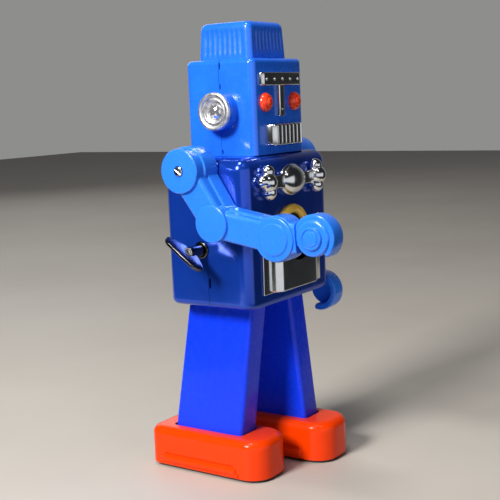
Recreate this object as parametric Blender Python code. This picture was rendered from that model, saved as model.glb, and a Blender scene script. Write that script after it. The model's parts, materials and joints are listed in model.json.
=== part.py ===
"""Wind-up walking toy robot of printed tin, as an assembly of separate parts.

Design coordinates are millimetres: the robot stands on z = 0 and faces -Y, and its right side is -X.
settle() turns them into metres with the origin at the bottom centre of the whole toy's box.
"""

import math

import bmesh
import bpy
from mathutils import Matrix, Vector

MM = 0.001
CENTRE_X = -0.3
CENTRE_Y = -16.865

# Body: two pressed halves that meet at a seam down each side.
BODY_X = 40.7
BODY_Y = 26.3
BODY_BASE = 94.0
BODY_TOP = 171.4
BODY_CORNER = 6.5
BODY_TOP_ROUND = 7.0
BODY_BASE_ROUND = 3.5
WALL = 1.0
SEAM_Y = -1.0
SEAM_GAP = 0.2
PLATE_LOW = 97.7
PLATE_HIGH = 98.9

# Head, cap and face.
HEAD_X = 24.0
HEAD_Y = 21.4
HEAD_MID_Y = -0.75
HEAD_FRONT = HEAD_MID_Y - HEAD_Y
HEAD_BASE = 171.5
HEAD_TOP = 220.8
HEAD_CORNER = 4.0
HEAD_TOP_ROUND = 3.0
CAP_X = 17.5
CAP_Y = 16.7
CAP_BASE = 220.9
CAP_TOP = 240.0
FLUTES = 8
FLUTED_SHARE = 0.86
FLUTE_DEPTH = 0.8
EAR_Y = -2.3
EAR_Z = 194.5
EYE_X = 13.8
EYE_R = 4.9
MOUTH_X = 14.8
MOUTH_DEPTH = 6.0
EYE_Z = 198.3

# Chest fittings.
ORNAMENT_Z = 157.6
DIAL_Z = 130.2
DIAL_R = 14.5

# Arms: points in the YZ plane of the raised right arm.
SHOULDER = (1.5, 166.1)
ELBOW = (-15.3, 140.1)
WRIST = (-50.4, 133.7)
HAND = (-71.0, 135.0)
ARM_INNER = 41.3
LEFT_ARM_LOWERED = 53.0
SCREW_R = 1.5

# Key and clockwork.
KEY_AXIS = (2.3, 124.3)
KEY_TILT = 36.5
KEY_SPAN = 13.2
KEY_END = 59.7
ARBOR_R = 1.6
CRANK_AXIS = (3.4, 142.27)
CRANK_THROW = 3.17
FLY_AXIS = (-6.086, 151.45)
MODULE = 0.6
GREAT_TEETH = 48
PINION_TEETH = 12
SECOND_TEETH = 32
MOTOR_IN = 6.4
MOTOR_OUT = 7.6
RUNNING = 0.05

# Legs and feet.
HIP = (3.0, 105.2)
HIP_R = 1.75
SWING = {-1: 7.0, 1: 2.8}
LEVER_SHIFT = 1.7
LEG_HALF_X = 7.4
LEG_HALF_Y = 22.0
LEG_TOP_HALF_Y = 20.5
LEG_WALL = 0.8
LEG_TOP_X = 15.9
LEG_BASE_X = 16.8
FOOT_X = 21.1
ANKLE_DROP = 87.0
ANKLE_R = 1.5
FOOT_HALF_X = 15.6
FOOT_HALF_Y = 37.3
FOOT_BACK = -2.4
FOOT_LOW = 2.5
FOOT_TOP = 22.6
SOLE_LOW = 0.3
SOLE_HIGH = 2.2
ROLLER_R = 3.2
ROLLER_REACH = 23.0

SIDES = (("right", -1), ("left", 1))


def clear_scene():
    for thing in list(bpy.data.objects):
        bpy.data.objects.remove(thing, do_unlink=True)


def paint(name, colour, metallic, roughness):
    mat = bpy.data.materials.new(name)
    mat.use_nodes = True
    shader = mat.node_tree.nodes["Principled BSDF"]
    shader.inputs["Base Color"].default_value = (*colour, 1.0)
    shader.inputs["Metallic"].default_value = metallic
    shader.inputs["Roughness"].default_value = roughness
    mat.diffuse_color = (*colour, 1.0)
    return mat


def finishes():
    """One material per kind of finish."""
    return {
        "blue": paint("blue_enamel", (0.01, 0.11, 0.72), 0.0, 0.22),
        "sky": paint("light_blue_plastic", (0.05, 0.27, 0.95), 0.0, 0.25),
        "leg": paint("royal_blue_enamel", (0.005, 0.03, 0.75), 0.0, 0.25),
        "red": paint("orange_red_enamel", (0.80, 0.05, 0.01), 0.0, 0.25),
        "eye": paint("orange_red_plastic", (0.85, 0.06, 0.02), 0.0, 0.2),
        "chrome": paint("chrome_plating", (0.72, 0.74, 0.76), 1.0, 0.12),
        "yellow": paint("yellow_enamel", (0.85, 0.58, 0.08), 0.0, 0.3),
        "black": paint("black_enamel", (0.01, 0.01, 0.012), 0.0, 0.35),
        "jewel": paint("clear_jewel", (0.75, 0.72, 0.74), 0.6, 0.1),
        "steel": paint("bright_steel", (0.55, 0.56, 0.58), 1.0, 0.3),
        "brass": paint("gear_brass", (0.78, 0.55, 0.2), 1.0, 0.3),
        "rubber": paint("roller_rubber", (0.02, 0.02, 0.02), 0.0, 0.8),
    }


def solid(name, shape, mat):
    """One closed mesh object from (points in millimetres, faces)."""
    points, faces = shape
    bm = bmesh.new()
    verts = [bm.verts.new(Vector(point) * MM) for point in points]
    for face in faces:
        bm.faces.new([verts[i] for i in face])
    bmesh.ops.recalc_face_normals(bm, faces=bm.faces)
    mesh = bpy.data.meshes.new(name)
    bm.to_mesh(mesh)
    bm.free()
    mesh.materials.append(mat)
    made = bpy.data.objects.new(name, mesh)
    bpy.context.scene.collection.objects.link(made)
    return made


def combine(base, shapes, operation):
    """Joins the shapes to the base or takes them from it, one after another."""
    tools = []
    for number, shape in enumerate(shapes):
        tool = solid(f"tool_{number}", shape, base.data.materials[0])
        step = base.modifiers.new(f"step_{number}", "BOOLEAN")
        step.operation = operation
        step.object = tool
        tools.append(tool)
    bpy.context.view_layer.update()
    graph = bpy.context.evaluated_depsgraph_get()
    made = bpy.data.meshes.new_from_object(base.evaluated_get(graph))
    base.modifiers.clear()
    base.data = made
    for tool in tools:
        bpy.data.objects.remove(tool, do_unlink=True)
    return base


def add(base, *shapes):
    return combine(base, shapes, "UNION")


def cut(base, *shapes):
    return combine(base, shapes, "DIFFERENCE")


def keep(base, shape):
    return combine(base, (shape,), "INTERSECT")


def loft(loops):
    """Skin over loops of equal length, capped at the first and the last."""
    count = len(loops[0])
    points = [point for loop in loops for point in loop]
    faces = []
    for row in range(len(loops) - 1):
        low = row * count
        for i in range(count):
            j = (i + 1) % count
            faces.append((low + i, low + j, low + count + j, low + count + i))
    faces.append(tuple(range(count)))
    faces.append(tuple(range(len(points) - count, len(points))))
    return points, faces


def cup(outer, inner):
    """Open box: both lists of loops run from the open rim to the closed end."""
    return loft(outer[::-1] + inner)


def box_loop(centre, half, radii, z, segments=3):
    """Rounded rectangle at height z; radii are those of the rear and of the front corners."""
    loop = []
    corners = ((1, 1, 0), (-1, 1, 90), (-1, -1, 180), (1, -1, 270))
    for side_x, side_y, start in corners:
        radius = radii[0] if side_y > 0 else radii[1]
        for i in range(segments + 1):
            angle = math.radians(start + 90.0 * i / segments)
            x = centre[0] + side_x * (half[0] - radius) + radius * math.cos(angle)
            y = centre[1] + side_y * (half[1] - radius) + radius * math.sin(angle)
            loop.append((x, y, z))
    return loop


def block(low, high):
    """Plain box between two corners."""
    x0, y0, z0 = low
    x1, y1, z1 = high
    ring = ((x0, y0), (x1, y0), (x1, y1), (x0, y1))
    return loft([[(x, y, z) for x, y in ring] for z in (z0, z1)])


def placed(axis, along, a, b):
    """Point at a height along an axis, with its two other coordinates in X, Y, Z order."""
    if axis == "X":
        return (along, a, b)
    if axis == "Y":
        return (a, along, b)
    return (a, b, along)


def prism(outline, axis, start, end):
    """Outline extruded along an axis; start and end are heights or functions of the point."""
    loops = []
    for height in (start, end):
        loop = []
        for a, b in outline:
            along = height(a, b) if callable(height) else height
            loop.append(placed(axis, along, a, b))
        loops.append(loop)
    return loft(loops)


def disc(centre, radius, axis, start, end, segments=16):
    return prism(circle(centre, radius, segments), axis, start, end)


def circle(centre, radius, segments=16):
    turn = 2.0 * math.pi / segments
    return [
        (centre[0] + radius * math.cos(i * turn), centre[1] + radius * math.sin(i * turn))
        for i in range(segments)
    ]


def lathe(profile, axis, centre, segments=16):
    """Turned shape: profile is (along, radius) pairs, closed on the axis or as a ring."""
    ring = all(radius > 0.0 for _, radius in profile)
    points = []
    rows = []
    for along, radius in profile:
        count = segments if radius > 0.0 else 1
        rows.append(range(len(points), len(points) + count))
        for a, b in circle(centre, radius, segments)[:count]:
            points.append(placed(axis, along, a, b))
    pairs = list(zip(rows, rows[1:]))
    if ring:
        pairs.append((rows[-1], rows[0]))
    faces = []
    for low, high in pairs:
        for i in range(segments):
            j = (i + 1) % segments
            corners = [low[i % len(low)], low[j % len(low)]]
            corners += [high[j % len(high)], high[i % len(high)]]
            faces.append(tuple(dict.fromkeys(corners)))
    return points, faces


def hull(points):
    """Convex outline round a set of points."""
    ordered = sorted(set(points))
    halves = []
    for run in (ordered, ordered[::-1]):
        chain = []
        for point in run:
            while len(chain) > 1 and turn_of(chain[-2], chain[-1], point) <= 0:
                chain.pop()
            chain.append(point)
        halves.append(chain[:-1])
    return halves[0] + halves[1]


def turn_of(a, b, c):
    return (b[0] - a[0]) * (c[1] - a[1]) - (b[1] - a[1]) * (c[0] - a[0])


def band(first, second, half_first, half_second):
    """Four-cornered strip between two points, with its half width at each."""
    length = math.dist(first, second)
    nx = -(second[1] - first[1]) / length
    ny = (second[0] - first[0]) / length
    return [
        (first[0] + nx * half_first, first[1] + ny * half_first),
        (second[0] + nx * half_second, second[1] + ny * half_second),
        (second[0] - nx * half_second, second[1] - ny * half_second),
        (first[0] - nx * half_first, first[1] - ny * half_first),
    ]


def set_pivot(thing, point):
    """Puts the object's origin on its joint axis without moving its mesh."""
    shift = Vector(point) * MM
    thing.data.transform(Matrix.Translation(-shift))
    thing.location = shift


def turn_about_x(thing, centre, degrees):
    """Turns a finished mesh about an X axis through (y, z)."""
    pivot = Vector((0.0, *centre)) * MM
    spin = Matrix.Rotation(math.radians(degrees), 4, "X")
    thing.data.transform(Matrix.Translation(pivot) @ spin @ Matrix.Translation(-pivot))


# ---------------------------------------------------------------- head


def topped_loops(half, corner, low, high, rounding, steps=3, mid_y=0.0):
    """Loops of a box with a rounded top edge, from its rim up."""
    loops = [box_loop((0, mid_y), half, (corner, corner), low)]
    for i in range(steps + 1):
        angle = math.radians(90.0 * i / steps)
        inset = rounding * (1.0 - math.cos(angle))
        height = high - rounding * (1.0 - math.sin(angle))
        radius = max(corner - inset, 0.5)
        size = (half[0] - inset, half[1] - inset)
        loops.append(box_loop((0, mid_y), size, (radius, radius), height))
    return loops


def front_half(z0, z1):
    return block((-60, -60, z0), (60, SEAM_Y - SEAM_GAP / 2, z1))


def rear_half(z0, z1):
    return block((-60, SEAM_Y + SEAM_GAP / 2, z0), (60, 60, z1))


def head_shells(mats):
    outer = topped_loops(
        (HEAD_X, HEAD_Y), HEAD_CORNER, HEAD_BASE, HEAD_TOP, HEAD_TOP_ROUND, mid_y=HEAD_MID_Y
    )
    inner = topped_loops(
        (HEAD_X - WALL, HEAD_Y - WALL),
        HEAD_CORNER - WALL,
        HEAD_BASE,
        HEAD_TOP - WALL,
        HEAD_TOP_ROUND - WALL,
        mid_y=HEAD_MID_Y,
    )
    holes = [disc((EAR_Y, EAR_Z), 1.9, "X", s * 20.0, s * 26.0, 16) for _, s in SIDES]
    eyes = [disc((s * EYE_X, EYE_Z), 1.6, "Y", -24.0, -18.0, 12) for _, s in SIDES]
    front = solid("head_front_shell", cup(outer, inner), mats["blue"])
    keep(front, front_half(160, 230))
    cut(front, *holes, *eyes)
    rear = solid("head_rear_shell", cup(outer, inner), mats["blue"])
    keep(rear, rear_half(160, 230))
    cut(rear, *holes)


def fluted_side(start, end, depth):
    """Points of one side of the cap from corner to corner, with its row of flutes."""
    dx = end[0] - start[0]
    dy = end[1] - start[1]
    length = math.hypot(dx, dy)
    nx = -dy / length
    ny = dx / length
    pitch = length * FLUTED_SHARE / FLUTES
    first = (length - FLUTES * pitch) / 2
    steps = FLUTES * 3
    points = [start]
    for i in range(steps + 1):
        along = first + pitch * i / 3
        wave = (0.0, 1.0, 1.0)[i % 3]
        push = depth * wave
        t = along / length
        points.append((start[0] + dx * t + nx * push, start[1] + dy * t + ny * push))
    points.append(end)
    return points


def cap_loop(z, scale, inset, depth):
    hx = CAP_X * scale - inset
    hy = CAP_Y * scale - inset
    chamfer = 1.2
    corners = ((hx, hy), (-hx, hy), (-hx, -hy), (hx, -hy))
    loop = []
    for i, corner in enumerate(corners):
        after = corners[(i + 1) % 4]
        ux = (after[0] > corner[0]) - (after[0] < corner[0])
        uy = (after[1] > corner[1]) - (after[1] < corner[1])
        start = (corner[0] + ux * chamfer, corner[1] + uy * chamfer)
        end = (after[0] - ux * chamfer, after[1] - uy * chamfer)
        loop += fluted_side(start, end, depth)
    return [(x, y, z) for x, y in loop]


def head_cap(mats):
    loops = [cap_loop(CAP_BASE, 1.0, 0.0, FLUTE_DEPTH)]
    loops.append(cap_loop(235.2, 0.965, 0.0, FLUTE_DEPTH))
    loops.append(cap_loop(236.4, 0.96, 0.0, 0.0))
    loops.append(cap_loop(237.6, 0.957, 0.0, 0.0))
    loops.append(cap_loop(239.2, 0.95, 0.7, 0.0))
    loops.append(cap_loop(CAP_TOP, 0.95, 2.4, 0.0))
    cap = solid("head_cap", loft(loops), mats["blue"])
    hollow = [
        box_loop((0, 0), (15.5, 14.7), (2, 2), 219.0, 3),
        box_loop((0, 0), (14.6, 13.8), (2, 2), 237.8, 3),
    ]
    cut(cap, loft(hollow))


def face_trim(mats):
    """Brow bar with five studs and the nose bar below it, pressed as one piece."""
    back = HEAD_FRONT - 0.1
    brow = [(-18.4, 206.7), (18.4, 206.7), (18.4, 213.5), (-18.4, 213.5)]
    trim = solid("brow_nose_trim", prism(brow, "Y", back, back - 2.2), mats["chrome"])
    nose = [(-2.7, 190.6), (2.7, 190.6), (2.7, 207.5), (-2.7, 207.5)]
    parts = [prism(nose, "Y", back, back - 1.7)]
    for i in range(5):
        profile = [(back - 1.0, 0), (back - 1.0, 1.1), (back - 2.6, 1.0), (back - 3.0, 0.6), (back - 3.1, 0)]
        parts.append(lathe(profile, "Y", (7.5 * (i - 2), 210.1), 10))
    add(trim, *parts)


def mouth_grille(mats):
    """Convex bar with rounded ends and upright flutes across its middle."""
    back = HEAD_FRONT - 0.1
    face = back - MOUTH_DEPTH
    front = []
    for i in range(9):
        angle = math.radians(90.0 * i / 8)
        x = -MOUTH_X + 3.0 * (1 - math.cos(angle))
        front.append((x, back - MOUTH_DEPTH * math.sin(angle)))
    grooves = []
    for i in range(6):
        x = -9.5 + 3.8 * i
        grooves += [(x - 0.9, face), (x, face + 0.9), (x + 0.9, face)]
    outline = front + grooves + [(-x, y) for x, y in reversed(front)]
    solid("mouth_grille", prism(outline, "Z", 176.0, 187.0), mats["chrome"])


def eyes(mats):
    """Domed red eye with a raised round centre, held by a stub through the shell."""
    face = HEAD_FRONT
    profile = [
        (face + 2.2, 0),
        (face + 2.2, 1.4),
        (face - 0.1, 1.4),
        (face - 0.1, EYE_R),
        (face - 1.2, EYE_R - 0.1),
        (face - 2.2, 4.3),
        (face - 2.4, 3.2),
        (face - 2.2, 2.6),
        (face - 3.3, 2.1),
        (face - 3.9, 1.2),
        (face - 4.0, 0),
    ]
    for side, sign in SIDES:
        solid(f"eye_{side}", lathe(profile, "Y", (sign * EYE_X, EYE_Z), 14), mats["eye"])


def ears(mats):
    base = [(21.6, 0), (21.6, 1.6), (24.1, 1.6), (24.1, 10.0), (28.9, 9.9), (29.6, 9.2), (29.6, 0)]
    dish = [
        (29.7, 0),
        (29.7, 9.5),
        (30.6, 9.95),
        (31.7, 9.7),
        (32.3, 8.9),
        (32.2, 7.6),
        (31.2, 6.2),
        (30.6, 5.4),
        (30.5, 0),
    ]
    jewel = [(30.6, 0), (30.6, 4.4), (31.2, 4.6), (32.5, 2.6), (32.9, 0)]
    for side, sign in SIDES:
        for name, profile, mat, count in (
            ("base", base, "blue", 18),
            ("dish", dish, "chrome", 18),
            ("jewel", jewel, "jewel", 8),
        ):
            signed = [(sign * along, radius) for along, radius in profile]
            solid(f"ear_{name}_{side}", lathe(signed, "X", (EAR_Y, EAR_Z), count), mats[mat])


# ---------------------------------------------------------------- body


def body_loops(shrink):
    """Loops of the body box from its open base up, each face drawn in by shrink."""
    loops = []
    round_x = BODY_BASE_ROUND - shrink
    round_y = max(0.6 - shrink, 0.0)
    corner = BODY_CORNER - shrink
    for i in range(4):
        angle = math.radians(30.0 * i)
        half = (
            BODY_X - shrink - round_x * (1 - math.sin(angle)),
            BODY_Y - shrink - round_y * (1 - math.sin(angle)),
        )
        height = BODY_BASE + shrink + round_x * (1 - math.cos(angle))
        loops.append(box_loop((0, 0), half, (corner, corner), height))
    top = topped_loops(
        (BODY_X - shrink, BODY_Y - shrink),
        corner,
        BODY_TOP - BODY_TOP_ROUND - 20,
        BODY_TOP - shrink,
        BODY_TOP_ROUND - shrink,
    )
    return loops + top[1:]


def body_shells(mats):
    holes = []
    for _, sign in SIDES:
        holes.append(disc(SHOULDER, 3.1, "X", sign * 36.0, sign * 44.0, 20))
    holes.append(disc(KEY_AXIS, 2.6, "X", -36.0, -44.0, 16))
    shape = cup(body_loops(0.0), body_loops(WALL))
    front = solid("body_front_shell", shape, mats["blue"])
    keep(front, front_half(80, 190))
    cut(front, *holes[:2])
    rear = solid("body_rear_shell", shape, mats["blue"])
    keep(rear, rear_half(80, 190))
    cut(rear, *holes)


def body_base_plate(mats):
    """Floor of the body, open at the rear where the legs swing."""
    loops = [box_loop((0, 0), (39.4, 25.0), (5, 5), z) for z in (PLATE_LOW, PLATE_HIGH)]
    plate = solid("body_base_plate", loft(loops), mats["steel"])
    slots = []
    for _, sign in SIDES:
        low_x, high_x = sorted((sign * 8.0, sign * 26.0))
        slots.append(block((low_x, -19.7, 90), (high_x, 30, 102)))
    cut(plate, *slots)


# ---------------------------------------------------------------- chest


def ball(centre, radius, depth):
    """Half-round knob standing out of the chest towards -Y."""
    base = -(BODY_Y + 0.1)
    profile = [(base, 0), (base, radius)]
    for i in range(1, 4):
        angle = math.radians(30.0 * i)
        level = base - (depth - radius) - radius * math.sin(angle)
        profile.append((level, radius * math.cos(angle) if i < 3 else 0))
    return lathe(profile, "Y", centre, 10)


def chest_ornament(mats):
    """Chromed double knob: a stepped dome joined by a bar to a cluster of balls on each side."""
    base = -(BODY_Y + 0.1)
    dome = [
        (base, 0),
        (base, 7.8),
        (base - 3.4, 7.8),
        (base - 4.4, 7.0),
        (base - 5.8, 5.2),
        (base - 6.6, 3.0),
        (base - 6.9, 0),
    ]
    ornament = solid("chest_ornament", lathe(dome, "Y", (0, ORNAMENT_Z), 18), mats["chrome"])
    oval = [(10.6 * x, ORNAMENT_Z + 7.9 * z) for x, z in circle((0, 0), 1.0, 20)]
    strip = [(-24, 153.8), (24, 153.8), (24, 161.4), (-24, 161.4)]
    parts = [prism(oval, "Y", base, base - 2.6), prism(strip, "Y", base, base - 3.0)]
    for _, sign in SIDES:
        parts.append(ball((sign * 24.6, 158.2), 4.8, 6.2))
        parts.append(ball((sign * 23.8, 164.2), 2.9, 5.6))
        parts.append(ball((sign * 29.0, 158.8), 3.0, 5.4))
        parts.append(ball((sign * 23.4, 152.5), 3.5, 6.0))
    add(ornament, *parts)


def dial(mats):
    base = -(BODY_Y + 0.1)
    bezel = [(base, 10.0), (base, 14.2), (base - 1.6, DIAL_R), (base - 3.2, 13.9)]
    bezel += [(base - 4.0, 12.4), (base - 3.4, 10.8), (base - 1.6, 10.0)]
    solid("dial_bezel", lathe(bezel, "Y", (0, DIAL_Z), 22), mats["yellow"])
    face = [(base, 0), (base, 9.7), (base - 1.3, 9.7), (base - 1.0, 0)]
    solid("dial_face", lathe(face, "Y", (0, DIAL_Z), 16), mats["black"])
    jewel = [(base - 1.4, 0), (base - 1.4, 7.6), (base - 2.6, 7.2), (base - 3.6, 4.2), (base - 4.0, 0)]
    solid("dial_jewel", lathe(jewel, "Y", (0, DIAL_Z), 12), mats["jewel"])


def chest_panel(mats):
    """Chromed pan: a flat flange, a box with wide round sides, and a hollow for the dial."""
    base = -(BODY_Y + 0.1)
    flange = [(-28.2, 100.0), (28.2, 100.0), (28.2, 121.5), (-28.2, 121.5)]
    panel = solid("chest_panel", prism(flange, "Y", base, base - 0.8), mats["chrome"])
    raised = rounded_plan(20.8, 5.6, 5.4, base)
    add(panel, prism(raised, "Z", 100.5, 120.0))
    hollow = rounded_plan(19.8, 4.6, 4.4, base + 0.5, 0.5)
    cut(panel, prism(hollow, "Z", 101.5, 119.0), disc((0, DIAL_Z), DIAL_R + 0.6, "Y", -20, -40, 28))


def rounded_plan(half, depth, radius, base, lift=0.0):
    """Plan outline, seen from above, of a box whose front corners are round."""
    points = [(half, base)]
    for i in range(6):
        angle = math.radians(18.0 * i)
        x = half - radius * (1 - math.cos(angle))
        y = base - lift - (depth - radius) - radius * math.sin(angle)
        points.append((x, y))
    return points + [(-x, y) for x, y in reversed(points)]


def key_collar(mats):
    profile = [(-40.8, ARBOR_R + RUNNING), (-40.8, 4.4), (-41.4, 4.4), (-42.0, 3.8), (-42.0, ARBOR_R + RUNNING)]
    solid("key_collar", lathe(profile, "X", KEY_AXIS), mats["steel"])


# ---------------------------------------------------------------- arms


def between(first, second, start, end):
    """Height that runs evenly from start at one point to end at the other."""
    length = math.dist(first, second)
    ux = (second[0] - first[0]) / length
    uy = (second[1] - first[1]) / length

    def height(y, z):
        t = ((y - first[0]) * ux + (z - first[1]) * uy) / length
        return start + (end - start) * min(max(t, -0.2), 1.2)

    return height


def signed(sign, height):
    if callable(height):
        return lambda y, z: sign * height(y, z)
    return sign * height


def claw_outline(outer, inner, first, last, steps=12):
    """C shape about the hand's centre, its angles measured up from straight ahead."""
    points = []
    for radius, run in ((outer, range(steps + 1)), (inner, range(steps, -1, -1))):
        for i in run:
            angle = math.radians(first + (last - first) * i / steps)
            points.append((HAND[0] - radius * math.cos(angle), HAND[1] + radius * math.sin(angle)))
    return points


def arm_solids(sign, wall):
    """The arm's outer pieces, or with a wall its hollow, as (outline, start, end)."""
    start = ARM_INNER if wall == 0.0 else ARM_INNER - 2.0
    upper = between(SHOULDER, ELBOW, 56.9 - wall, 54.7 - wall)
    fore = between(ELBOW, WRIST, 54.7 - wall, 53.6 - wall)
    pieces = [
        (circle(SHOULDER, 12.0 - wall, 24), 58.0 - wall),
        (circle(ELBOW, 9.3 - wall, 18), 56.0 - wall),
        (circle(WRIST, 11.2 - wall, 22), 54.2 - wall),
        (band(SHOULDER, ELBOW, 8.6 - wall, 8.4 - wall), upper),
        (band(ELBOW, WRIST, 8.2 - wall, 8.2 - wall), fore),
    ]
    return [prism(outline, "X", sign * start, signed(sign, end)) for outline, end in pieces]


def hand_solids(sign):
    reach = math.dist(WRIST, HAND)
    t = (reach - 9.0) / reach
    near = tuple(w + (h - w) * t for w, h in zip(WRIST, HAND))
    return [
        prism(band(WRIST, near, 9.0, 7.2), "X", sign * 43.0, sign * 53.0),
        prism(claw_outline(11.3, 7.9, -60.0, 205.0), "X", sign * 42.0, sign * 51.5),
        disc(HAND, 8.6, "X", sign * 49.6, sign * 52.6, 20),
        disc(HAND, 7.0, "X", sign * 50.0, sign * 54.4, 18),
    ]


def arm(side, sign, mats):
    """Moulded arm, hollow and open towards the body, with a C-shaped hand."""
    outer = arm_solids(sign, 0.0)
    made = solid(f"arm_{side}", outer[0], mats["sky"])
    add(made, *outer[1:])
    cut(made, *arm_solids(sign, 1.5))
    hub = disc(SHOULDER, 3.6, "X", sign * 51.0, sign * 57.2, 12)
    add(made, *hand_solids(sign), hub)
    cut(made, disc(SHOULDER, SCREW_R + RUNNING, "X", sign * 45.0, sign * 60.0))
    groove = [(3.9, 0.0), (4.7, 0.0)]
    ring = [(sign * 53.9, radius) for radius, _ in groove]
    ring += [(sign * 55.0, radius) for radius, _ in reversed(groove)]
    cut(made, lathe(ring, "X", HAND, 16))
    if side == "left":
        turn_about_x(made, SHOULDER, LEFT_ARM_LOWERED)
    set_pivot(made, (sign * 50.0, *SHOULDER))


def shoulder(side, sign, mats):
    """Bush that stands out of the body wall, and the screw that holds the arm on it."""
    bore = SCREW_R + 0.1
    profile = [(37.5, bore), (37.5, 2.9), (40.9, 2.9), (40.9, 6.0), (43.0, 6.0), (43.6, 5.0)]
    profile += [(50.6, 5.0), (50.6, bore)]
    signed_profile = [(sign * along, radius) for along, radius in profile]
    solid(f"shoulder_bush_{side}", lathe(signed_profile, "X", SHOULDER, 14), mats["blue"])
    screw = [(36.8, 0), (36.8, SCREW_R), (58.1, SCREW_R), (58.1, 2.3), (58.7, 2.2), (59.1, 1.2), (59.1, 0)]
    signed_screw = [(sign * along, radius) for along, radius in screw]
    made = solid(f"arm_screw_{side}", lathe(signed_screw, "X", SHOULDER), mats["steel"])
    y, z = SHOULDER
    slot = [(sign * 58.7, y - 3, z - 0.3), (sign * 60.0, y + 3, z + 0.3)]
    low = tuple(min(a, b) for a, b in zip(*slot))
    high = tuple(max(a, b) for a, b in zip(*slot))
    cut(made, block(low, high))


# ---------------------------------------------------------------- key and clockwork


def winding_key(mats):
    """Flat two-winged key on a short tube."""
    tube = [(-43.0, ARBOR_R + RUNNING), (-43.0, 3.0), (-52.0, 3.0), (-52.0, ARBOR_R + RUNNING)]
    key = solid("winding_key", lathe(tube, "X", KEY_AXIS), mats["steel"])
    wing = [(-52.6, 0.0), (-49.0, 0.0), (-49.0, 3.4), (-50.0, 6.0), (-51.6, 8.6), (-52.6, 11.0)]
    wing += [(-53.6, 12.6), (-55.2, KEY_SPAN), (-56.9, 13.0), (-58.6, 11.4), (-59.5, 9.6), (-KEY_END, 8.6)]
    wing += [(-KEY_END, 0.0)]
    outline = wing[1:-1] + [(x, -span) for x, span in reversed(wing[1:-1])]
    outline = [point for i, point in enumerate(outline) if point[1] != 0.0]
    y, z = KEY_AXIS
    plate = prism([(x, y + span) for x, span in outline], "Z", z - 0.9, z + 0.9)
    add(key, plate)
    cut(key, disc(KEY_AXIS, ARBOR_R + RUNNING, "X", -42.0, -52.3))
    turn_about_x(key, KEY_AXIS, KEY_TILT)
    set_pivot(key, (-50.0, *KEY_AXIS))


def tooth_ring(centre, teeth, phase, shape):
    """Outline of a wheel whose every tooth repeats the (angle share, radius) pairs of shape."""
    step = 2 * math.pi / teeth
    points = []
    for i in range(teeth):
        for share, radius in shape:
            angle = phase + (i + share) * step
            points.append((centre[0] + radius * math.cos(angle), centre[1] + radius * math.sin(angle)))
    return points


def gear(centre, teeth, phase, x0, x1):
    pitch = MODULE * teeth / 2
    tip = pitch + 0.8 * MODULE
    root = pitch - 1.15 * MODULE
    shape = ((-0.32, root), (-0.12, tip), (0.12, tip), (0.32, root))
    return prism(tooth_ring(centre, teeth, phase, shape), "X", x0, x1)


def direction(start, end):
    return math.atan2(end[1] - start[1], end[0] - start[0])


def meshing_phase(start, end, teeth):
    """Phase that turns a gap towards the tooth that points from start to end."""
    return direction(start, end) + math.pi + math.pi / teeth


def key_arbor(mats):
    rod = [(-51.8, 0), (-51.8, ARBOR_R), (7.9, ARBOR_R), (7.9, 0)]
    arbor = solid("key_arbor", lathe(rod, "X", KEY_AXIS), mats["steel"])
    ratchet = ((0.0, 6.0), (0.12, 4.8))
    add(arbor, prism(tooth_ring(KEY_AXIS, 12, 0.0, ratchet), "X", -3.9, -2.5))
    set_pivot(arbor, (0.0, *KEY_AXIS))


def great_gear(mats):
    shape = gear(KEY_AXIS, GREAT_TEETH, direction(KEY_AXIS, CRANK_AXIS), 4.3, 6.0)
    wheel = solid("great_gear", shape, mats["brass"])
    cut(wheel, disc(KEY_AXIS, ARBOR_R + RUNNING, "X", 3.0, 7.0))
    set_pivot(wheel, (5.0, *KEY_AXIS))


def crank_shaft(mats):
    """Shaft with a crank disc outside each motor plate, half a turn apart."""
    rod = [(-9.1, 0), (-9.1, 5.4), (-7.9, 5.4), (-7.9, 1.4), (7.9, 1.4), (7.9, 5.4), (9.1, 5.4), (9.1, 0)]
    shaft = solid("crank_shaft", lathe(rod, "X", CRANK_AXIS), mats["steel"])
    pinion_phase = meshing_phase(KEY_AXIS, CRANK_AXIS, PINION_TEETH)
    parts = [
        gear(CRANK_AXIS, PINION_TEETH, pinion_phase, 4.3, 6.0),
        gear(CRANK_AXIS, SECOND_TEETH, direction(CRANK_AXIS, FLY_AXIS), -6.1, -4.7),
    ]
    for _, sign in SIDES:
        pin = (CRANK_AXIS[0] + sign * CRANK_THROW, CRANK_AXIS[1])
        parts.append(disc(pin, 1.2, "X", sign * 8.5, sign * 11.0, 14))
    add(shaft, *parts)
    set_pivot(shaft, (0.0, *CRANK_AXIS))


def fly(mats):
    """Air brake wheel that steadies the clockwork."""
    rod = [(-7.8, 0), (-7.8, 0.9), (0.0, 0.9), (0.0, 4.4), (1.6, 4.4), (1.6, 0.9), (7.8, 0.9), (7.8, 0)]
    made = solid("fly_wheel", lathe(rod, "X", FLY_AXIS, 16), mats["brass"])
    phase = meshing_phase(CRANK_AXIS, FLY_AXIS, PINION_TEETH)
    add(made, gear(FLY_AXIS, PINION_TEETH, phase, -6.1, -4.7))
    set_pivot(made, (0.0, *FLY_AXIS))


def mainspring(mats):
    """Flat steel strip wound round the arbor."""
    inner = []
    outer = []
    turns = 4.5
    count = int(turns * 12)
    for i in range(count + 1):
        angle = 2 * math.pi * turns * i / count
        radius = 2.6 + 8.0 * i / count
        for run, offset in ((inner, 0.0), (outer, 0.6)):
            y = KEY_AXIS[0] + (radius + offset) * math.cos(angle)
            z = KEY_AXIS[1] + (radius + offset) * math.sin(angle)
            run.append((y, z))
    solid("mainspring", prism(outer + inner[::-1], "X", -1.9, 3.6), mats["steel"])


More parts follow.
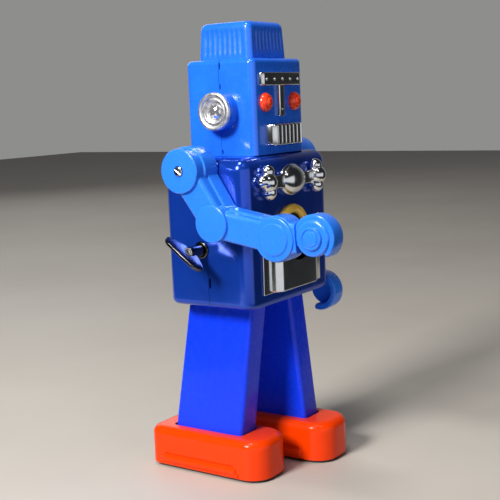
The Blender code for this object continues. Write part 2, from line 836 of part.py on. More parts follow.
def click(mats):
    """Pawl that rides on the ratchet wheel."""
    blade = [(-9.6, 115.6), (-7.6, 115.4), (-2.2, 119.2), (-2.9, 119.9), (-3.6, 120.3), (-9.2, 118.0)]
    made = solid("click", prism(blade, "X", -3.9, -2.5), mats["steel"])
    add(made, disc((-8.6, 116.7), 1.1, "X", -6.3, -2.4, 14))


def motor(mats):
    """Two side plates with their bearings, held apart by four pillars."""
    outline = [(-12, 99.0), (15, 99.0), (19.5, 104), (19.5, 153), (15, 158), (-11, 158), (-15.5, 153)]
    outline.append((-15.5, 103))
    pillars = ((-11.5, 103.5), (15.5, 103.5), (-12.3, 155.0), (15.0, 154.0))
    for side, sign in SIDES:
        plate = prism(outline, "X", sign * MOTOR_IN, sign * MOTOR_OUT)
        made = solid(f"motor_plate_{side}", plate, mats["steel"])
        bores = ((HIP, HIP_R + 0.02), (KEY_AXIS, ARBOR_R + RUNNING), (CRANK_AXIS, 1.45), (FLY_AXIS, 0.95))
        cut(made, *[disc(at, r, "X", sign * 5.0, sign * 9.0) for at, r in bores])
    for number, at in enumerate(pillars, 1):
        solid(f"motor_pillar_{number}", disc(at, 1.5, "X", -6.3, 6.3, 10), mats["steel"])


# ---------------------------------------------------------------- legs and feet


def hip_axle(mats):
    rod = [(-26.6, 0), (-26.6, 2.8), (-25.4, 2.8), (-25.4, HIP_R)]
    rod += [(-along, radius) for along, radius in reversed(rod)]
    solid("hip_axle", lathe(rod, "X", HIP), mats["steel"])


def leg(side, sign, mats):
    """Square tin tube with a flat lever on top, built upright and then swung to its resting angle."""
    stations = (
        (HIP[1] - ANKLE_DROP - 8.6, FOOT_X, LEG_HALF_Y),
        (22.2, FOOT_X, LEG_HALF_Y),
        (93.95, LEG_BASE_X, LEG_TOP_HALF_Y),
        (108.5, LEG_TOP_X, LEG_TOP_HALF_Y),
    )
    outer = []
    inner = []
    for z, x, half_y in stations:
        centre = (sign * x, HIP[0])
        outer.append(box_loop(centre, (LEG_HALF_X, half_y), (2.4, 2.4), z, 3))
        size = (LEG_HALF_X - LEG_WALL, half_y - LEG_WALL)
        top = z - LEG_WALL if z == 108.5 else z
        inner.append(box_loop(centre, size, (1.6, 1.6), top, 3))
    made = solid(f"leg_{side}", cup(outer, inner), mats["leg"])
    low_x, high_x = sorted((sign * 11.6, sign * 12.8))
    y = HIP[0] + LEVER_SHIFT
    eye_centre = (HIP[0], KEY_AXIS[1])
    eye = disc(eye_centre, 6.6, "X", low_x, high_x, 14)
    add(made, block((low_x, y - 3.5, 108.0), (high_x, y + 3.5, 147.0)), eye)
    low_x, high_x = sorted((sign * 10.0, sign * 14.0))
    ankle = (HIP[0], HIP[1] - ANKLE_DROP)
    cut(
        made,
        disc(HIP, HIP_R + RUNNING, "X", sign * 5.0, sign * 30.0),
        disc(ankle, ANKLE_R + RUNNING, "X", sign * 8.0, sign * 36.0),
        disc(eye_centre, 4.3, "X", low_x, high_x, 14),
        block((low_x, y - 1.3, 138.0), (high_x, y + 1.3, 145.5)),
    )
    turn_about_x(made, HIP, -sign * SWING[sign])
    set_pivot(made, (sign * LEG_TOP_X, *HIP))


def ankle_of(sign):
    """Ankle axis at rest, as (y, z)."""
    swing = math.radians(SWING[sign])
    y = HIP[0] - sign * ANKLE_DROP * math.sin(swing)
    return (y, HIP[1] - ANKLE_DROP * math.cos(swing))


def foot_shell(side, sign, mats):
    ankle = ankle_of(sign)
    centre = (sign * FOOT_X, ankle[0] + FOOT_BACK)
    outer = []
    inner = []
    for shrink, loops, low, high in ((0.0, outer, FOOT_LOW, FOOT_TOP), (WALL, inner, FOOT_LOW, FOOT_TOP - WALL)):
        size = (FOOT_HALF_X - shrink, FOOT_HALF_Y - shrink)
        loops.append(box_loop(centre, size, (7 - shrink, 12 - shrink), low))
        rounding = 4.0 - shrink
        for i in range(4):
            angle = math.radians(30.0 * i)
            inset = rounding * (1 - math.cos(angle))
            half = (size[0] - inset, size[1] - inset)
            radii = (7 - shrink - inset, 12 - shrink - inset)
            height = high - rounding * (1 - math.sin(angle))
            loops.append(box_loop(centre, half, radii, height))
    made = solid(f"foot_shell_{side}", cup(outer, inner), mats["red"])
    slot_centre = (sign * FOOT_X, ankle[0])
    slot = [box_loop(slot_centre, (8.2, 23.4), (2.5, 2.5), z, 3) for z in (20.0, 25.0)]
    cut(made, loft(slot))
    set_pivot(made, (sign * FOOT_X, *ankle))


def foot_base(side, sign, mats):
    """Black sole with windows for the rollers, their ears and the ankle brackets."""
    ankle = ankle_of(sign)
    centre = (sign * FOOT_X, ankle[0] + FOOT_BACK)
    loops = [box_loop(centre, (14.8, 36.45), (6.2, 11.2), z) for z in (SOLE_LOW, SOLE_HIGH)]
    made = solid(f"foot_base_{side}", loft(loops), mats["black"])
    windows = []
    uprights = []
    bores = []
    for way in (-1, 1):
        y = centre[1] + way * ROLLER_REACH
        windows.append(block((centre[0] - 5.4, y - 4.4, -1), (centre[0] + 5.4, y + 4.4, 4)))
        bores.append(disc((y, ROLLER_R), 0.9 + RUNNING, "X", centre[0] - 12, centre[0] + 12, 16))
        for edge in (-1, 1):
            x0, x1 = sorted((centre[0] + edge * 5.5, centre[0] + edge * 6.7))
            uprights.append(block((x0, y - 2.4, SOLE_HIGH - 0.6), (x1, y + 2.4, 5.6)))
    for edge in (-1, 1):
        x0, x1 = sorted((centre[0] + edge * 9.6, centre[0] + edge * 11.0))
        y = ankle[0]
        uprights.append(block((x0, y - 4, SOLE_HIGH - 0.6), (x1, y + 4, 20.8)))
    bores.append(disc(ankle, ANKLE_R + 0.02, "X", centre[0] - 14, centre[0] + 14))
    cut(made, *windows)
    add(made, *uprights)
    cut(made, *bores)
    set_pivot(made, (sign * FOOT_X, *ankle))


def foot_details(side, sign, mats):
    ankle = ankle_of(sign)
    centre = (sign * FOOT_X, ankle[0] + FOOT_BACK)
    pin = disc(ankle, ANKLE_R, "X", centre[0] - 11.6, centre[0] + 11.6)
    made = solid(f"ankle_pin_{side}", pin, mats["steel"])
    set_pivot(made, (centre[0], *ankle))
    for where, way in (("front", -1), ("rear", 1)):
        at = (centre[1] + way * ROLLER_REACH, ROLLER_R)
        half = [(-7.0, 0), (-7.0, 0.9), (-5.2, 0.9), (-5.2, ROLLER_R)]
        profile = [(centre[0] + x, r) for x, r in half]
        profile += [(centre[0] - x, r) for x, r in reversed(half)]
        roller = solid(f"roller_{where}_{side}", lathe(profile, "X", at), mats["rubber"])
        set_pivot(roller, (centre[0], *at))


def settle():
    """Moves every part so that the origin is at the bottom centre of the toy's box."""
    for thing in bpy.data.objects:
        thing.location -= Vector((CENTRE_X, CENTRE_Y, 0.0)) * MM


def build():
    clear_scene()
    mats = finishes()
    head_shells(mats)
    head_cap(mats)
    face_trim(mats)
    mouth_grille(mats)
    eyes(mats)
    ears(mats)
    body_shells(mats)
    body_base_plate(mats)
    chest_ornament(mats)
    dial(mats)
    chest_panel(mats)
    key_collar(mats)
    winding_key(mats)
    key_arbor(mats)
    great_gear(mats)
    crank_shaft(mats)
    fly(mats)
    mainspring(mats)
    click(mats)
    motor(mats)
    hip_axle(mats)
    for side, sign in SIDES:
        shoulder(side, sign, mats)
        arm(side, sign, mats)
        leg(side, sign, mats)
        foot_shell(side, sign, mats)
        foot_base(side, sign, mats)
        foot_details(side, sign, mats)
    settle()


build()
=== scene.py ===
"""Looks of the wind-up toy robot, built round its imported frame."""

import json
import math

import bmesh
import bpy
from mathutils import Matrix, Vector


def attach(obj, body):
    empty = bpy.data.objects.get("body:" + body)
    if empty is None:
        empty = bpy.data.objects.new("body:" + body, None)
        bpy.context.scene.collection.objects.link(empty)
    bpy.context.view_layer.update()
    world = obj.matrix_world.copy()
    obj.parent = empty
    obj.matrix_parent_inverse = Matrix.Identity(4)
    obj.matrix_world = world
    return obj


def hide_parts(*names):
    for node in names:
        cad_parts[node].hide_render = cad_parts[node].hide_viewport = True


MM = 0.001
OFFSET = Vector((0.3, 16.865, 0.0))

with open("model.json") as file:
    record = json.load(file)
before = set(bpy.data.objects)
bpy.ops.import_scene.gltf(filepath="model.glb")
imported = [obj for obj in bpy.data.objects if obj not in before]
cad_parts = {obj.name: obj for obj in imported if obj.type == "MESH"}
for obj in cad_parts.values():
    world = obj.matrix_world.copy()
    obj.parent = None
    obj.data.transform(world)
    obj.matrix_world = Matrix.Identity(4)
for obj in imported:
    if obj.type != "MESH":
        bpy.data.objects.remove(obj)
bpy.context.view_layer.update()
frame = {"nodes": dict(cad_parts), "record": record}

SIDES = (("right", -1), ("left", 1))
SHOULDER = (1.5, 166.1)
ELBOW = (-15.3, 140.1)
WRIST = (-50.4, 133.7)
HAND = (-71.0, 135.0)
KEY_AXIS = (2.3, 124.3)
HIP = (3.0, 105.2)
SWING = {-1: 7.0, 1: 2.8}
ANKLE_DROP = 87.0
HEAD_MID = -0.75
BODY_HALF = (40.7, 26.3)
EAR = (-2.3, 194.5)
DIAL = (0, 130.2)
ROLLER_REACH = 23.0
ROLLER_R = 3.2
LEFT_ARM_LOWERED = 53.0
HEAD_FRONT = -22.15
FOOT_X = 21.1
FOOT_BACK = -2.4
FOOT_HALF = (15.6, 37.3)
SEAM_Y = -1.0


# ---------------------------------------------------------------- materials


def new_material(name):
    mat = bpy.data.materials.new(name)
    mat.use_nodes = True
    tree = mat.node_tree
    shader = tree.nodes["Principled BSDF"]
    coords = tree.nodes.new("ShaderNodeTexCoord")
    return mat, tree, shader, coords.outputs["Object"]


def noise(tree, source, scale, detail=3.0, rough=0.5, stretch=None):
    if stretch:
        mapping = tree.nodes.new("ShaderNodeMapping")
        mapping.inputs["Scale"].default_value = stretch
        tree.links.new(source, mapping.inputs["Vector"])
        source = mapping.outputs["Vector"]
    node = tree.nodes.new("ShaderNodeTexNoise")
    node.inputs["Scale"].default_value = scale
    node.inputs["Detail"].default_value = detail
    node.inputs["Roughness"].default_value = rough
    tree.links.new(source, node.inputs["Vector"])
    return node.outputs["Fac"]


def ramp(tree, factor, stops):
    node = tree.nodes.new("ShaderNodeValToRGB")
    points = node.color_ramp.elements
    while len(points) < len(stops):
        points.new(0.5)
    for point, (place, colour) in zip(points, stops):
        point.position = place
        point.color = (*colour, 1.0)
    tree.links.new(factor, node.inputs["Fac"])
    return node.outputs["Color"]


def spread(tree, factor, low, high, start=0.3, end=0.7):
    node = tree.nodes.new("ShaderNodeMapRange")
    node.inputs["From Min"].default_value = start
    node.inputs["From Max"].default_value = end
    node.inputs["To Min"].default_value = low
    node.inputs["To Max"].default_value = high
    tree.links.new(factor, node.inputs["Value"])
    return node.outputs["Result"]


def bump(tree, height, strength, distance, shader):
    node = tree.nodes.new("ShaderNodeBump")
    node.inputs["Strength"].default_value = strength
    node.inputs["Distance"].default_value = distance
    tree.links.new(height, node.inputs["Height"])
    tree.links.new(node.outputs["Normal"], shader.inputs["Normal"])


def tint(colour, share):
    return tuple(min(1.0, channel * share) for channel in colour)


def enamel(name, colour, rough=0.16, coat=0.7, vary=0.10, ripple=0.05, metal=0.0, shine=0.5):
    """Baked enamel on tin: faint tone changes, orange peel and fine handling marks."""
    mat, tree, shader, place = new_material(name)
    tone = noise(tree, place, 45.0, 4.0, 0.55)
    shades = ((0.3, tint(colour, 1.0 - vary)), (0.7, tint(colour, 1.0 + vary)))
    tree.links.new(ramp(tree, tone, shades), shader.inputs["Base Color"])
    marks = noise(tree, place, 260.0, 5.0, 0.7)
    tree.links.new(spread(tree, marks, rough * 0.75, rough * 1.5), shader.inputs["Roughness"])
    bump(tree, noise(tree, place, 420.0, 2.0, 0.4), ripple, 0.0003, shader)
    shader.inputs["Specular IOR Level"].default_value = shine
    shader.inputs["Metallic"].default_value = metal
    shader.inputs["Coat Weight"].default_value = coat
    shader.inputs["Coat Roughness"].default_value = 0.06
    return mat


def plastic(name, colour, rough=0.24):
    """Glossy moulded plastic with faint flow marks."""
    mat, tree, shader, place = new_material(name)
    flow = noise(tree, place, 30.0, 3.0, 0.5, (1.0, 0.5, 0.5))
    shades = ((0.25, tint(colour, 0.93)), (0.75, tint(colour, 1.07)))
    tree.links.new(ramp(tree, flow, shades), shader.inputs["Base Color"])
    haze = noise(tree, place, 180.0, 4.0, 0.6)
    tree.links.new(spread(tree, haze, rough * 0.8, rough * 1.3), shader.inputs["Roughness"])
    bump(tree, noise(tree, place, 700.0, 2.0, 0.5), 0.04, 0.0002, shader)
    shader.inputs["Coat Weight"].default_value = 0.35
    shader.inputs["Coat Roughness"].default_value = 0.08
    shader.inputs["Subsurface Weight"].default_value = 0.04
    shader.inputs["Subsurface Radius"].default_value = (0.001, 0.002, 0.004)
    return mat


def plated(name, colour, rough=0.07, haze=0.08, wave=0.10):
    """Vacuum-plated chrome: slightly wavy, with a film of handling haze."""
    mat, tree, shader, place = new_material(name)
    film = noise(tree, place, 90.0, 4.0, 0.6)
    shades = ((0.35, tint(colour, 0.9)), (0.65, tint(colour, 1.0)))
    tree.links.new(ramp(tree, film, shades), shader.inputs["Base Color"])
    smear = noise(tree, place, 140.0, 5.0, 0.65, (1.0, 1.0, 0.35))
    tree.links.new(spread(tree, smear, rough, rough + haze), shader.inputs["Roughness"])
    bump(tree, noise(tree, place, 170.0, 1.0, 0.3), wave, 0.0002, shader)
    shader.inputs["Metallic"].default_value = 1.0
    return mat


def brushed(name, colour, rough, stretch=(6.0, 1.0, 1.0)):
    mat, tree, shader, place = new_material(name)
    grain = noise(tree, place, 300.0, 6.0, 0.7, stretch)
    shades = ((0.3, tint(colour, 0.8)), (0.7, tint(colour, 1.1)))
    tree.links.new(ramp(tree, grain, shades), shader.inputs["Base Color"])
    tree.links.new(spread(tree, grain, rough * 0.8, rough * 1.4), shader.inputs["Roughness"])
    bump(tree, grain, 0.12, 0.0002, shader)
    shader.inputs["Metallic"].default_value = 1.0
    return mat


def rubbery(name, colour):
    mat, tree, shader, place = new_material(name)
    grit = noise(tree, place, 900.0, 4.0, 0.7)
    shades = ((0.3, tint(colour, 0.7)), (0.7, tint(colour, 1.6)))
    tree.links.new(ramp(tree, grit, shades), shader.inputs["Base Color"])
    tree.links.new(spread(tree, grit, 0.6, 0.85), shader.inputs["Roughness"])
    bump(tree, grit, 0.3, 0.0003, shader)
    return mat


def jewel(name, colour):
    """Clear faceted stone over a silvered back."""
    mat, tree, shader, place = new_material(name)
    painted_sparkle_noise = noise(tree, place, 500.0, 2.0, 0.6)
    # Small noise patches lighten and darken the base colour as painted sparkle; the same noise also varies the
    # roughness.
    shades = ((0.3, tint(colour, 0.55)), (0.5, colour), (0.7, tint(colour, 1.25)))
    tree.links.new(ramp(tree, painted_sparkle_noise, shades), shader.inputs["Base Color"])
    tree.links.new(spread(tree, painted_sparkle_noise, 0.03, 0.12), shader.inputs["Roughness"])
    shader.inputs["Metallic"].default_value = 0.85
    shader.inputs["Coat Weight"].default_value = 1.0
    shader.inputs["Coat Roughness"].default_value = 0.02
    return mat


MATS = {
    "head": enamel("tin_head_blue", (0.012, 0.14, 0.80), 0.22, 0.5, shine=0.4),
    "body": enamel("tin_body_blue", (0.007, 0.058, 0.48), 0.16, 0.4, metal=0.55, ripple=0.02),
    "cap": enamel("cap_blue", (0.012, 0.14, 0.80), 0.25, 0.5, shine=0.4),
    "leg": enamel("tin_leg_blue", (0.004, 0.040, 0.80), 0.24, 0.15, vary=0.04, ripple=0.02, shine=0.2),
    "foot": enamel("tin_foot_red", (0.78, 0.042, 0.001), 0.2, 0.25, vary=0.04, ripple=0.02, shine=0.1),
    "arm": plastic("moulded_sky_blue", (0.022, 0.19, 0.86)),
    "eye": plastic("moulded_orange_red", (0.88, 0.05, 0.012), 0.16),
    "chrome": plated("vacuum_chrome", (0.80, 0.82, 0.84), 0.12, 0.08, 0.06),
    "dish": brushed("spun_chrome", (0.80, 0.80, 0.82), 0.36, (0.3, 1.0, 1.0)),
    "yellow": enamel("bezel_yellow", (0.90, 0.56, 0.06), 0.25, 0.6),
    "black": enamel("black_enamel", (0.008, 0.008, 0.01), 0.35, 0.2),
    # Key steel: base colour set near black as a painted dark reflection of the room, not the plated metal's own
    # colour.
    "steel": plated("steel_painted_dark", (0.095, 0.095, 0.10), 0.16, 0.12, 0.05),
    "nickel": plated("bright_nickel", (0.66, 0.67, 0.69), 0.16, 0.12, 0.05),
    "zinc": brushed("zinc_steel", (0.5, 0.51, 0.53), 0.3),
    "brass": brushed("gear_brass", (0.78, 0.52, 0.18), 0.28, (1.0, 1.0, 1.0)),
    "rubber": rubbery("roller_rubber", (0.02, 0.02, 0.021)),
    "stone": jewel("ear_stone", (0.82, 0.83, 0.88)),
    "pink": jewel("dial_stone", (0.80, 0.66, 0.68)),
}


# ---------------------------------------------------------------- mesh tools


def raw(name, shape, mat=None):
    """One mesh object from (design millimetres, faces)."""
    points, faces = shape
    bm = bmesh.new()
    verts = [bm.verts.new((Vector(point) + OFFSET) * MM) for point in points]
    for face in faces:
        bm.faces.new([verts[i] for i in face])
    bmesh.ops.remove_doubles(bm, verts=bm.verts, dist=1e-7)
    bmesh.ops.recalc_face_normals(bm, faces=bm.faces)
    mesh = bpy.data.meshes.new(name)
    bm.to_mesh(mesh)
    bm.free()
    if mat:
        mesh.materials.append(MATS[mat])
    made = bpy.data.objects.new(name, mesh)
    bpy.context.scene.collection.objects.link(made)
    return made


def baked(thing):
    """Replaces the mesh by what its modifiers make of it."""
    bpy.context.view_layer.update()
    graph = bpy.context.evaluated_depsgraph_get()
    mesh = bpy.data.meshes.new_from_object(thing.evaluated_get(graph))
    thing.modifiers.clear()
    thing.data = mesh
    return thing


def combine(base, shapes, operation):
    tools = []
    for shape in shapes:
        tool = raw("tool", shape)
        tool.data.materials.append(base.data.materials[0])
        step = base.modifiers.new("step", "BOOLEAN")
        step.operation = operation
        step.object = tool
        tools.append(tool)
    baked(base)
    for tool in tools:
        bpy.data.objects.remove(tool, do_unlink=True)
    return base


def smooth(thing, angle=32.0):
    thing.data.shade_smooth()
    thing.data.set_sharp_from_angle(angle=math.radians(angle))
    return thing


def bevelled(thing, width, segments=3, angle=35.0):
    step = thing.modifiers.new("edge", "BEVEL")
    step.width = width * MM
    step.segments = segments
    step.limit_method = "ANGLE"
    step.angle_limit = math.radians(angle)
    step.use_clamp_overlap = True
    return baked(thing)


def piece(thing, body, *nodes, slot=None, angle=32.0):
    smooth(thing, angle)
    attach(thing, body)
    if nodes:
        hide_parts(*nodes)
    return thing


def loft(loops, closed=False):
    count = len(loops[0])
    points = [point for loop in loops for point in loop]
    faces = []
    rows = len(loops)
    for row in range(rows if closed else rows - 1):
        low = row * count
        high = ((row + 1) % rows) * count
        for i in range(count):
            j = (i + 1) % count
            faces.append((low + i, low + j, high + j, high + i))
    if not closed:
        faces.append(tuple(range(count)))
        faces.append(tuple(range(len(points) - count, len(points))))
    return points, faces


def cup(outer, inner):
    return loft(outer[::-1] + inner)


def box_loop(centre, half, radii, z, segments=8):
    loop = []
    for side_x, side_y, start in ((1, 1, 0), (-1, 1, 90), (-1, -1, 180), (1, -1, 270)):
        radius = radii[0] if side_y > 0 else radii[1]
        for i in range(segments + 1):
            angle = math.radians(start + 90.0 * i / segments)
            x = centre[0] + side_x * (half[0] - radius) + radius * math.cos(angle)
            y = centre[1] + side_y * (half[1] - radius) + radius * math.sin(angle)
            loop.append((x, y, z))
    return loop


def block(low, high):
    (x0, y0, z0), (x1, y1, z1) = low, high
    ring = ((x0, y0), (x1, y0), (x1, y1), (x0, y1))
    return loft([[(x, y, z) for x, y in ring] for z in (z0, z1)])


def span_block(a, b):
    low = tuple(min(p, q) for p, q in zip(a, b))
    high = tuple(max(p, q) for p, q in zip(a, b))
    return block(low, high)


def placed(axis, along, a, b):
    if axis == "X":
        return (along, a, b)
    if axis == "Y":
        return (a, along, b)
    return (a, b, along)


def circle(centre, radius, segments=48, start=0.0):
    turn = 2.0 * math.pi / segments
    return [
        (
            centre[0] + radius * math.cos(start + i * turn),
            centre[1] + radius * math.sin(start + i * turn),
        )
        for i in range(segments)
    ]


def prism(outline, axis, start, end):
    return loft([[placed(axis, h, a, b) for a, b in outline] for h in (start, end)])


def disc(centre, radius, axis, start, end, segments=48):
    return prism(circle(centre, radius, segments), axis, start, end)


def lathe(profile, axis, centre, segments=64):
    ring = all(radius > 0.0 for _, radius in profile)
    points = []
    rows = []
    for along, radius in profile:
        count = segments if radius > 0.0 else 1
        rows.append(range(len(points), len(points) + count))
        for a, b in circle(centre, radius, segments)[:count]:
            points.append(placed(axis, along, a, b))
    pairs = list(zip(rows, rows[1:]))
    if ring:
        pairs.append((rows[-1], rows[0]))
    faces = []
    for low, high in pairs:
        for i in range(segments):
            j = (i + 1) % segments
            corners = [low[i % len(low)], low[j % len(low)]]
            corners += [high[j % len(high)], high[i % len(high)]]
            faces.append(tuple(dict.fromkeys(corners)))
    return points, faces


def fillet(corner, before, after, radius, steps=4):
    """Points that round one corner of a profile."""
    corner, before, after = Vector(corner), Vector(before), Vector(after)
    to_before = (before - corner).normalized()
    to_after = (after - corner).normalized()
    turn = to_before.angle(to_after)
    reach = radius / math.tan(turn / 2)
    reach = min(reach, (before - corner).length * 0.49, (after - corner).length * 0.49)
    a = corner + to_before * reach
    b = corner + to_after * reach
    points = []
    for i in range(steps + 1):
        t = i / steps
        point = a * (1 - t) ** 2 + corner * 2 * t * (1 - t) + b * t * t
        points.append((point.x, point.y))
    return points


def rounded(profile, radius, steps=4, closed=False):
    """Rounds each inner corner of an open profile, or all of a closed one."""
    result = []
    count = len(profile)
    for i, corner in enumerate(profile):
        ends = not closed and i in (0, count - 1)
        if ends:
            result.append(tuple(corner))
            continue
        before = profile[i - 1]
        after = profile[(i + 1) % count]
        size = radius[i] if isinstance(radius, (list, tuple)) else radius
        if size <= 0.0:
            result.append(tuple(corner))
        else:
            result += fillet(corner, before, after, size, steps)
    return result


def turn_about_x(thing, centre, degrees):
    pivot = (Vector((0.0, *centre)) + OFFSET) * MM
    spin = Matrix.Rotation(math.radians(degrees), 4, "X")
    thing.data.transform(Matrix.Translation(pivot) @ spin @ Matrix.Translation(-pivot))
    return thing


def half_cut(front):
    gap = 0.11
    if front:
        return block((-70, -70, 60), (70, SEAM_Y - gap, 250))
    return block((-70, SEAM_Y + gap, 60), (70, 70, 250))


# ---------------------------------------------------------------- head


def topped(half, corner, low, high, rounding, steps=8, segments=8, middle=0.0):
    loops = [box_loop((0, middle), half, (corner, corner), low, segments)]
    for i in range(steps + 1):
        angle = math.radians(90.0 * i / steps)
        inset = rounding * (1.0 - math.cos(angle))
        height = high - rounding * (1.0 - math.sin(angle))
        radius = max(corner - inset, 0.6)
        size = (half[0] - inset, half[1] - inset)
        loops.append(box_loop((0, middle), size, (radius, radius), height, segments))
    return loops


def seam_slots(x, at):
    """Narrow slots that the folded tabs come through, one side of the seam."""
    slots = []
    for _, sign in SIDES:
        for z, tall, wide in at:
            low = (sign * (x - 2.0), SEAM_Y - 0.35 - wide, z - tall / 2)
            high = (sign * (x + 2.0), SEAM_Y - 0.35, z + tall / 2)
            slots.append(span_block(low, high))
    return slots


def head():
    outer = topped((24, 21.4), 3.6, 171.5, 220.8, 2.6, middle=HEAD_MID)
    inner = topped((23, 20.4), 2.6, 171.5, 219.8, 1.6, middle=HEAD_MID)
    shape = cup(outer, inner)
    tabs = seam_slots(24, ((217.6, 3.2, 0.7), (207.0, 2.6, 0.6), (173.6, 2.2, 0.7)))
    front = combine(raw("head_front", shape, "head"), [half_cut(True)], "INTERSECT")
    combine(front, tabs, "DIFFERENCE")
    piece(front, "frame", "head_front_shell", slot="blue_enamel")
    rear = combine(raw("head_rear", shape, "head"), [half_cut(False)], "INTERSECT")
    piece(rear, "frame", "head_rear_shell", slot="blue_enamel")


def cap_loop(z, half, radius, depth, samples=10):
    """Loop of the cap with eight upright flutes pressed into each side."""
    hx, hy = half
    loop = []
    corners = ((hx, hy, 0), (-hx, hy, 90), (-hx, -hy, 180), (hx, -hy, 270))
    for index, (cx, cy, start) in enumerate(corners):
        ox = cx - math.copysign(radius, cx)
        oy = cy - math.copysign(radius, cy)
        for i in range(7):
            angle = math.radians(start + 90.0 * i / 6)
            loop.append((ox + radius * math.cos(angle), oy + radius * math.sin(angle), z))
        a = Vector(loop[-1][:2])
        nx, ny, next_start = corners[(index + 1) % 4]
        bx = nx - math.copysign(radius, nx) + radius * math.cos(math.radians(next_start))
        by = ny - math.copysign(radius, ny) + radius * math.sin(math.radians(next_start))
        b = Vector((bx, by))
        along = b - a
        inward = Vector((-along.y, along.x)).normalized()
        margin = 0.03
        steps = 8 * samples
        for i in range(steps + 1):
            t = margin + (1 - 2 * margin) * i / steps
            push = depth * (0.5 - 0.5 * math.cos(2 * math.pi * i / samples)) ** 0.7
            point = a + along * t + inward * push
            loop.append((point.x, point.y, z))
    return loop


def cap():
    loops = []
    flutes = ((220.9, 0.0), (222.6, 0.0), (224.0, 0.7), (226, 1.0))
    flutes += ((231, 1.0), (234.0, 1.0), (235.4, 0.6), (236.3, 0.0))
    for z, share in flutes:
        slope = 1.0 - 0.045 * (z - 220.9) / 15.4
        loops.append(cap_loop(z, (17.5 * slope, 16.7 * slope), 3.0, 0.42 * share))
    for i in range(1, 8):
        angle = math.radians(90.0 * i / 7)
        inset = 3.4 * (1 - math.cos(angle))
        z = 236.5 + 3.5 * math.sin(angle)
        half = (17.5 * 0.953 - inset, 16.7 * 0.953 - inset)
        loops.append(cap_loop(z, half, max(3.0 - inset * 0.5, 1.0), 0.0))
    made = raw("head_cap_fluted", loft(loops), "cap")
    combine(made, [block((-15, -14, 219), (15, 14, 236))], "DIFFERENCE")
    piece(made, "frame", "head_cap", slot="blue_enamel", angle=50)


def plan_bar(half, back, depth, end_x, inset, ribs=0, pitch=4.0, rib_depth=0.0):
    """Plan outline of a bar whose ends curve back to the wall, with upright ribs across it."""
    left = []
    for i in range(13):
        angle = math.radians(90.0 * i / 12)
        x = -half + inset + (end_x) * (1 - math.cos(angle))
        y = back - (depth - inset) * math.sin(angle)
        left.append((x, y))
    middle = []
    if ribs:
        start = -pitch * ribs / 2
        for i in range(ribs * 12 + 1):
            x = start + pitch * i / 12
            wave = abs(math.sin(math.pi * i / 12)) ** 0.6
            middle.append((x, back - (depth - inset) + rib_depth * (1 - wave)))
    right = [(-x, y) for x, y in reversed(left)]
    return left + middle + right


def bar(name, half, back, depth, end_x, low, high, edge, mat, **ribs):
    loops = []
    for i in range(4):
        angle = math.radians(30.0 * i)
        inset = edge * (1 - math.sin(angle))
        loops.append((low + edge * (1 - math.cos(angle)), inset))
    heights = loops + [(high - (z - low), inset) for z, inset in reversed(loops)]
    shape = loft([[(x, y, z) for x, y in plan_bar(half, back, depth, end_x, i, **ribs)] for z, i in heights])
    return raw(name, shape, mat)


def joined(base, *others):
    """Adds closed shapes that touch the base into the same mesh."""
    return combine(base, others, "UNION")


def face():
    back = HEAD_FRONT - 0.05
    brow = bar("brow_bar", 18.6, back, 2.4, 2.0, 206.7, 213.5, 0.7, "chrome")
    nose = bar("nose_bar", 2.7, back, 1.9, 0.8, 190.8, 207.3, 0.4, "chrome")
    studs = []
    for i in range(5):
        profile = [(back - 1.0, 0), (back - 1.0, 0.95), (back - 2.5, 0.95), (back - 2.8, 0.75)]
        profile += [(back - 3.05, 0.4), (back - 3.1, 0)]
        studs.append(lathe(profile, "Y", (7.5 * (i - 2), 210.1), 20))
    nose_stud = [(back - 1.0, 0), (back - 1.0, 0.6), (back - 2.4, 0.5), (back - 2.6, 0)]
    studs.append(lathe(nose_stud, "Y", (0, 194.6), 14))
    mesh = nose.data
    bpy.data.objects.remove(nose)
    shape = mesh_shape(mesh)
    joined(brow, shape, *studs)
    piece(brow, "frame", "brow_nose_trim", slot="chrome")
    mouth = bar(
        "mouth_bar", 14.8, back, 6.0, 3.4, 176.0, 187.0, 0.9, "chrome", ribs=6, pitch=3.7, rib_depth=0.3
    )
    piece(mouth, "frame", "mouth_grille", slot="chrome", angle=40)
    wall = HEAD_FRONT
    dome = [(wall + 2.1, 0), (wall + 2.1, 1.4), (wall - 0.05, 1.4), (wall - 0.05, 4.9), (wall - 0.9, 4.92)]
    dome += [(wall - 1.5, 4.65), (wall - 2.3, 4.0), (wall - 2.9, 3.2), (wall - 3.1, 2.7), (wall - 3.05, 2.5)]
    dome += [(wall - 3.5, 2.25), (wall - 3.85, 1.6), (wall - 4.0, 0.8), (wall - 4.05, 0)]
    for side, sign in SIDES:
        eye = raw(f"eye_dome_{side}", lathe(dome, "Y", (sign * 13.8, 198.3), 48), "eye")
        piece(eye, "frame", f"eye_{side}", slot="eye_plastic", angle=60)


def mesh_shape(mesh):
    """Points in design millimetres and faces of a finished mesh."""
    points = [tuple(v.co / MM - OFFSET) for v in mesh.vertices]
    faces = [tuple(p.vertices) for p in mesh.polygons]
    return points, faces


def facets(sign, base, rings, centre, count):
    """Cut stone: rings of points, each turned half a step from the last, closed by a flat table."""
    points = []
    for number, (height, radius) in enumerate(rings):
        start = math.pi / count * (number % 2)
        for a, b in circle(centre, radius, count, start):
            points.append((sign * (base + height), a, b))
    faces = [tuple(range(count))]
    for row in range(len(rings) - 1):
        low = row * count
        high = low + count
        shift = row % 2
        for i in range(count):
            j = (i + 1) % count
            top = high + ((i + shift) % count)
            after = high + ((j + shift) % count)
            faces.append((low + i, low + j, top))
            faces.append((low + j, after, top))
    last = (len(rings) - 1) * count
    faces.append(tuple(range(last, last + count)))
    return points, faces


